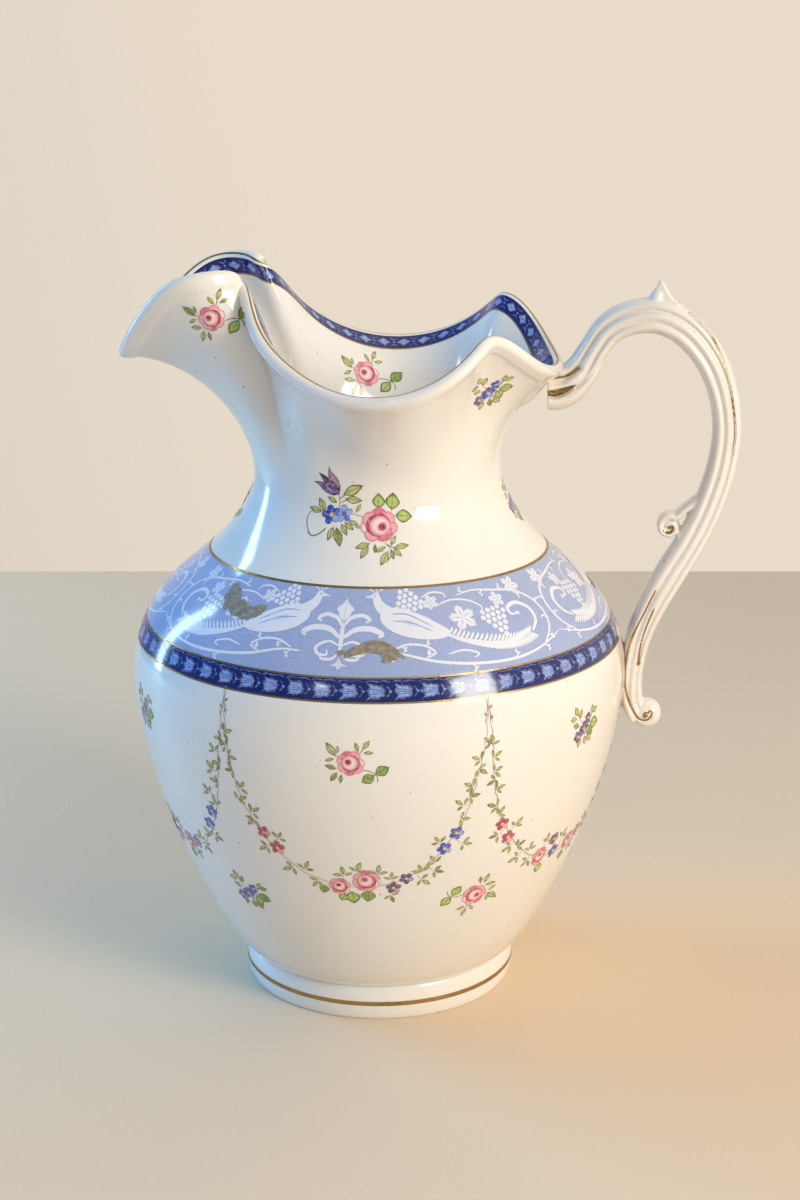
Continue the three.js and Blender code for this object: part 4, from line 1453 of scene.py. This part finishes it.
def frieze_half(paint, middle, side):
    """The frieze from one palmette half-way to the next."""
    place = frieze_place(middle, side)
    palmette(paint, place)
    long_tailed_bird(paint, place)
    lower = curl(paint, place, LOWER_STEM, 1.1)
    hooks(paint, place, lower, 7, 2.6)
    rising = curl(paint, place, RISING_STEM, 1.1)
    hooks(paint, place, rising, 6, 2.4)
    scroll = curl(paint, place, END_SCROLL, 1.7)
    paint.blob(place, ring_outline(1.0, None, 10, scroll[-1]), [(0, CREAM), (1, CREAM_SHADE)], 1)
    curl(paint, place, [[26, 177.6], [30.6, 179.6], [36, 178.6], [39.4, 175], [38.2, 172.4]], 0.8)
    inner = curl(paint, place, [[12, 159.4], [16, 162], [20.4, 161.4], [23, 158.6], [21.6, 156.8]], 0.9)
    hooks(paint, place, inner, 8, 2.2)
    curl(paint, place, [[26, 157.4], [30, 158.4], [33.6, 156.6], [32.4, 155]], 0.8)
    curl(paint, place, [[22, 181.6], [25.4, 183.6], [29, 182.8], [29.6, 180.6]], 0.8)
    for draw, at, degrees, size in (
        (vine_leaf, (32.6, 171.4), 100, 5.6),
        (vine_leaf, (24.6, 179.4), 40, 3.4),
        (vine_leaf, (53.4, 181.4), 60, 4.4),
        (vine_leaf, (45.4, 177.0), 20, 3.6),
        (grapes, (15.4, 181.0), -14, 1.5),
        (grapes, (41.6, 173.2), -80, 1.5),
    ):
        draw(paint, place, spread(at), degrees, size)


band_sheet("cobalt_band", BAND_LOW, BAND_HIGH, GROUND_LIFT, COBALT, "band_blue")
band_sheet("blue_ground", FRIEZE_LOW, FRIEZE_HIGH, GROUND_LIFT, SKY_PRINT, "pale_blue", 30)
bell_row = Paint("band_bells", PALE_PRINT)
bells(bell_row)
bell_row.piece("band_blue")
frieze = Paint("frieze_print", PALE_PRINT)
for k in range(3):
    for side in (-1, 1):
        frieze_half(frieze, FRIEZE_MIDDLE + 120 * k, side)
frieze.piece("cream_print")


# ---------------------------------------------------------------- worn places
def ragged(width, height, seed, lean, arch):
    """An irregular patch with a torn edge."""
    own = random.Random(seed)
    waves = [(n, own.uniform(0.35, 1.0) / n**0.75, own.uniform(0, 2 * math.pi)) for n in range(2, 22)]
    outline = []
    for k in range(90):
        angle = 2 * math.pi * k / 90
        reach = 1 + 0.2 * sum(size * math.sin(n * angle + phase) for n, size, phase in waves)
        p, q = reach * math.cos(angle) * width, reach * math.sin(angle) * height
        outline.append([p, q + lean * p - arch * p * p])
    return np.array(outline)


wear = Paint("rubbed_print", WORN)
wear_tint = srgb(128, 116, 98)
for angle, length, width, height, seed, lean, arch in (
    (-41.0, 175.5, 4.2, 5.0, 5, -0.5, 0),
    (-35.5, 171.5, 6.2, 3.4, 12, -0.1, 0),
    (-30.0, 171.0, 4.2, 3.2, 31, 0.5, 0),
    (4.6, 161.4, 10.5, 2.5, 8, -0.02, 0.035),
    (8.6, 157.6, 3.6, 2.0, 17, 0.2, 0),
    (-3.2, 158.8, 1.6, 1.1, 23, 0, 0),
    (96.0, 163.0, 5.0, 2.4, 40, 0.2, 0),
    (201.0, 172.0, 6.0, 2.6, 44, -0.2, 0),
):
    patch = ragged(width, height, seed, lean, arch)
    wear.blob(on_body(angle, length), patch, [(s, wear_tint) for s in (0, 0.35, 0.7, 1)], 5, (0, 0))
wear.piece("pale_blue")

# ---------------------------------------------------------------- border inside the rim
BORDER_TOP, BORDER_BOTTOM = 0.35, 7.2
BORDER_STEPS = 8  # points of the border's line between two stations
STRIP_STEPS = 12  # columns of a strip's mesh between two stations
LOZENGE_PITCH = 8.4
NECK_COLUMNS = len(INSIDE)


def wall_at(u, depth, lift):
    """A point `lift` above the inside of the neck, `depth` below the rim, and its normal."""
    column = u * NECK_STEPS
    first, share = math.floor(column), column % 1
    point, normal = np.zeros(3), np.zeros(3)
    for k, weight in ((first, 1 - share), (first + 1, share)):
        k %= NECK_COLUMNS
        for axis in range(3):
            point[axis] += weight * np.interp(-depth, -BELOW_RIM[k], INSIDE[k][:, axis])
            normal[axis] += weight * np.interp(-depth, -BELOW_RIM[k], INSIDE_NORMAL[k][:, axis])
    normal /= -np.linalg.norm(normal)
    return point + normal * lift, normal


BORDER_MIDDLE = (BORDER_TOP + BORDER_BOTTOM) / 2
BORDER_STATIONS = np.arange(STATIONS * BORDER_STEPS + 1) / BORDER_STEPS
BORDER_LENGTH = lengths_along([wall_at(u, BORDER_MIDDLE, 0)[0] for u in BORDER_STATIONS])


def on_border(start):
    """A place inside the rim, `start` millimetres round it; q is up."""

    def place(p, q, lift):
        points, normals = [], []
        for a, b in zip(p, q):
            u = np.interp((start - a) % BORDER_LENGTH[-1], BORDER_LENGTH, BORDER_STATIONS)
            point, normal = wall_at(u, BORDER_MIDDLE - b, lift)
            points.append(point)
            normals.append(normal)
        return np.array(points), np.array(normals)

    return place


def border_strip(name, top, bottom, lift, material, slot, rows):
    """A strip inside the rim between two depths below it."""
    def place_at(around, up):
        return wall_at(around * STATIONS, bottom + (top - bottom) * up, lift)[0]

    return sheet(name, place_at, rows, STATIONS * STRIP_STEPS, material, slot)


def lozenges(paint):
    """Pale lozenges between pairs of arcs, all round inside the rim."""
    count = round(BORDER_LENGTH[-1] / LOZENGE_PITCH)
    upper = [[-2.7, 0], [-1.1, 1.1], [0, 2.0], [1.1, 1.1]]
    shape = through(upper + [[-x, -y] for x, y in upper], 2, True)
    for k in range(count):
        place = on_border(BORDER_LENGTH[-1] * k / count)
        paint.blob(place, shape * 1.2, even(BAND_DARK), 0, (0, 0))
        paint.blob(place, shape, edged(BAND_PALE, BAND_MIDDLE, 0.6), 1, (0, 0))
        paint.stroke(place, [[-1.6, 0], [0, 0], [1.6, 0]], 0.35, BAND_MIDDLE, 2)
        for side in (-1, 1):
            arc = through([[2.6, 2.3 * side], [4.2, 1.3 * side], [5.8, 2.3 * side]], 3)
            paint.stroke(place, arc, 0.55, BAND_MIDDLE, 1)
        paint.blob(place, ring_outline(0.55, None, 8, (4.2, 0)), [(0, BAND_PALE), (1, BAND_MIDDLE)], 1)


border_strip("rim_border", BORDER_TOP, BORDER_BOTTOM, GROUND_LIFT, COBALT, "band_blue", 6)
rim_print = Paint("rim_lozenges", PALE_PRINT)
lozenges(rim_print)
rim_print.piece("band_blue")
inner_flowers = Paint("flowers_inside_rim", ENAMEL)
rose_sprig(inner_flowers, on_wall(neck_tree, (-10, 48, 236.5), (0.4, -0.75, 0.5), 0, 1.1, 8))
blue_sprig(inner_flowers, on_wall(neck_tree, (-10, -48, 236.5), (0.4, 0.75, 0.5), 0, 1.1, 8))
inner_flowers.piece("enamel")


# ---------------------------------------------------------------- gilding
GILT_LIFT = BASE_LIFT + 0.04
JOINT_LIFT, FOOT_LIFT = 0.08, 0.06
LINE_WIDTH = 0.6


def turned_strip(name, outline):
    """A gilt strip along an (r, z) outline, turned round the axis."""
    def place_at(around, up):
        angle = 2 * math.pi * around
        r, z = outline[round(up * (len(outline) - 1))]
        return [r * math.cos(angle), r * math.sin(angle), z]

    return sheet(name, place_at, len(outline) - 1, 256, GILT, "gilt")


def rim_gilding():
    """A line of gold on the crown of the rim, on its inner side."""
    points = np.array([rim_crown(degrees, 0.05) for degrees in np.linspace(154, 134, 3)])
    faces = grid_faces(len(points), NECK_COLUMNS, close_columns=True)
    return finished(new_piece("rim_gilding", points.reshape(-1, 3), faces, GILT, 180), "gilt")


def on_side(tree, side):
    """A place on the handle's side, in the handle's own (x, z)."""

    def place(p, q, lift):
        points, normals = [], []
        for x, z in zip(p, q):
            hit, out, _, _ = tree.ray_cast(Vector((x, 20 * side, z)), Vector((0, -side, 0)))
            if hit is None:
                hit, out, _, _ = tree.find_nearest(Vector((x, 5 * side, z)))
            points.append(hit + out * lift)
            normals.append(out)
        return np.array(points), np.array(normals)

    return place


def handle_gilding():
    tree = surface_tree(handle_piece)
    paint = Paint("handle_gilding", GILT)
    gold = srgb(196, 150, 84)
    for side in (-1, 1):
        place = on_side(tree, side)
        for line, width in (
            (BACK_GROOVE, 0.8),
            (INNER_GROOVE, 0.8),
            (OUTER_GROOVE, 0.75),
            (ROOT_CREASE, 0.9),
        ):
            paint.stroke(place, through(line, 10), width, gold, 0)
        paint.blob(place, ring_outline(0.9, 0.8, 10, OUTER_GROOVE[-1]), even(gold), 0)
        recess = through(RECESS, 5)
        paint.stroke(place, recess[:, :2], 1.5 * recess[:, 2], gold, 0)
        for centre, size, start in ((VOLUTE, 2.6, 200), (CURL, 1.9, 40)):
            t = np.linspace(0, 1, 16)
            angle = math.radians(start) + t * 3.4
            curve = np.stack([np.cos(angle), np.sin(angle)], 1) * (size * (1 - 0.7 * t))[:, None]
            paint.stroke(place, curve + centre, 0.9, gold, 0)
            paint.blob(place, ring_outline(0.8, None, 10, centre), even(gold), 0)
    return paint.piece("gilt")


def joint_point(distance):
    """A point just above the glaze, `distance` below the neck joint."""
    step = distance * ROOT_HALF
    return [NECK_JOINT_RADIUS + step + JOINT_LIFT, NECK_JOINT_HEIGHT - step + JOINT_LIFT]


def foot_point(height):
    """A point just above the bead of the foot."""
    half = FOOT_HEIGHT / 2
    bulge = (FOOT_RADIUS - FOOT_CONTACT_RADIUS) * math.sqrt(1 - ((height - half) / half) ** 2)
    return [FOOT_CONTACT_RADIUS + bulge + FOOT_LIFT, height]


band_sheet("gilt_below_band", BAND_LOW - LINE_WIDTH, BAND_LOW + 0.05, GILT_LIFT, GILT, "gilt", 2)
band_sheet("gilt_above_band", BAND_HIGH - 0.05, BAND_HIGH + LINE_WIDTH, GILT_LIFT, GILT, "gilt", 2)
turned_strip("gilt_at_neck", [joint_point(distance) for distance in (0.55, 0, -0.45)])
turned_strip("gilt_on_foot", [foot_point(height) for height in (6.2, 6.8, 7.4, 8.0)])
border_strip("gilt_below_border", BORDER_BOTTOM - 0.1, BORDER_BOTTOM + 0.5, GILT_LIFT, GILT, "gilt", 2)
rim_gilding()
handle_gilding()

# ---------------------------------------------------------------- camera, floor and light
CAMERA_PLACE = (0.0665, -0.8215, 0.3914)
CAMERA_TURN = (74.08, 0.0, 5.4)  # degrees
CAMERA_LENS = 65.0
TARGET = Vector((0.0, 0.0, 0.15))
ROOM_WARM = (0.81, 0.71, 0.59, 1)
ROOM_COOL = (0.12, 0.2, 0.34, 1)
ROOM_FRONT = (0.31, 0.39, 0.43, 1)


def camera():
    data = bpy.data.cameras.new("camera")
    data.lens = CAMERA_LENS
    data.sensor_width = 36.0
    view = bpy.data.objects.new("camera", data)
    view.location = CAMERA_PLACE
    view.rotation_euler = [math.radians(a) for a in CAMERA_TURN]
    bpy.context.scene.collection.objects.link(view)
    bpy.context.scene.camera = view


def plain_look(name, colour, rough):
    look = Look(name, Roughness=rough)
    shade = tuple(0.985 * c for c in colour)
    look.output(look.mix(look.ramp(look.noise(6, 2), 0.3, 0.7), colour, shade), "Base Color")
    return look.material


def stage():
    """A pale table top, square to the camera; the room behind it is the world."""
    half, near, far = 2.4, -2.4, 0.62  # metres
    corners = [(-half, near, 0), (half, near, 0), (half, far, 0), (-half, far, 0)]
    mesh = bpy.data.meshes.new("floor")
    mesh.from_pydata(corners, [], [(0, 1, 2, 3)])
    mesh.materials.append(plain_look("floor", srgb(230, 206, 176), 0.6))
    floor = bpy.data.objects.new("floor", mesh)
    floor.rotation_euler.z = math.radians(CAMERA_TURN[2])
    bpy.context.scene.collection.objects.link(floor)


def room():
    """Soft light from all round: warm behind and right, plainer in front, cool to the left."""
    world = bpy.data.worlds.new("room")
    world.use_nodes = True
    tree = world.node_tree
    place = tree.nodes.new("ShaderNodeTexCoord")

    def blend(direction, low, high, first, second):
        towards = tree.nodes.new("ShaderNodeVectorMath")
        towards.operation = "DOT_PRODUCT"
        towards.inputs[1].default_value = direction
        share = tree.nodes.new("ShaderNodeMapRange")
        share.interpolation_type = "SMOOTHSTEP"
        share.inputs["From Min"].default_value = low
        share.inputs["From Max"].default_value = high
        tint = tree.nodes.new("ShaderNodeMix")
        tint.data_type = "RGBA"
        for socket, colour in ((tint.inputs[6], first), (tint.inputs[7], second)):
            if isinstance(colour, tuple):
                socket.default_value = colour
            else:
                tree.links.new(colour, socket)
        tree.links.new(place.outputs["Generated"], towards.inputs[0])
        tree.links.new(towards.outputs["Value"], share.inputs["Value"])
        tree.links.new(share.outputs["Result"], tint.inputs[0])
        return tint.outputs[2]

    near_side = blend((1, 0, 0), -0.75, 0.15, ROOM_COOL, ROOM_FRONT)
    colour = blend((0.7, 0.7, 0.14), -0.2, 0.62, near_side, ROOM_WARM)
    tree.links.new(colour, tree.nodes["Background"].inputs["Color"])
    bpy.context.scene.world = world


def area_light(name, azimuth, elevation, distance, size, power, colour, mirrored=True):
    """A light; azimuth 0 is the camera's side and grows to the right. Fill lights aren't
    mirrored in the glaze."""
    turn = math.radians(azimuth + CAMERA_TURN[2])
    rise = math.radians(elevation)
    away = Vector((math.sin(turn) * math.cos(rise), -math.cos(turn) * math.cos(rise), math.sin(rise)))
    data = bpy.data.lights.new(name, "AREA")
    data.shape = "RECTANGLE"
    data.size, data.size_y = size
    data.energy = power
    data.color = colour
    light = bpy.data.objects.new(name, data)
    light.location = TARGET + away * distance
    light.rotation_euler = away.to_track_quat("Z", "Y").to_euler()
    light.visible_glossy = mirrored
    bpy.context.scene.collection.objects.link(light)


def lights():
    area_light("window_right", 45, 21, 1.6, (0.52, 0.58), 14.0, (1.0, 0.95, 0.88))
    area_light("window_left", -118, 15, 1.3, (0.14, 0.95), 4.3, (0.58, 0.86, 1.0))
    area_light("small_left", -28, 27, 1.9, (0.12, 0.1), 0.6, (1.0, 1.0, 1.0))
    area_light("warm_fill", 34, 36, 1.7, (1.1, 1.1), 4.6, (1.0, 0.86, 0.78), False)
    area_light("cool_fill", -104, 16, 1.2, (0.6, 0.9), 11.0, (0.01, 0.38, 1.0), False)
    bpy.context.scene.view_settings.view_transform = "Standard"


camera()
stage()
room()
lights()
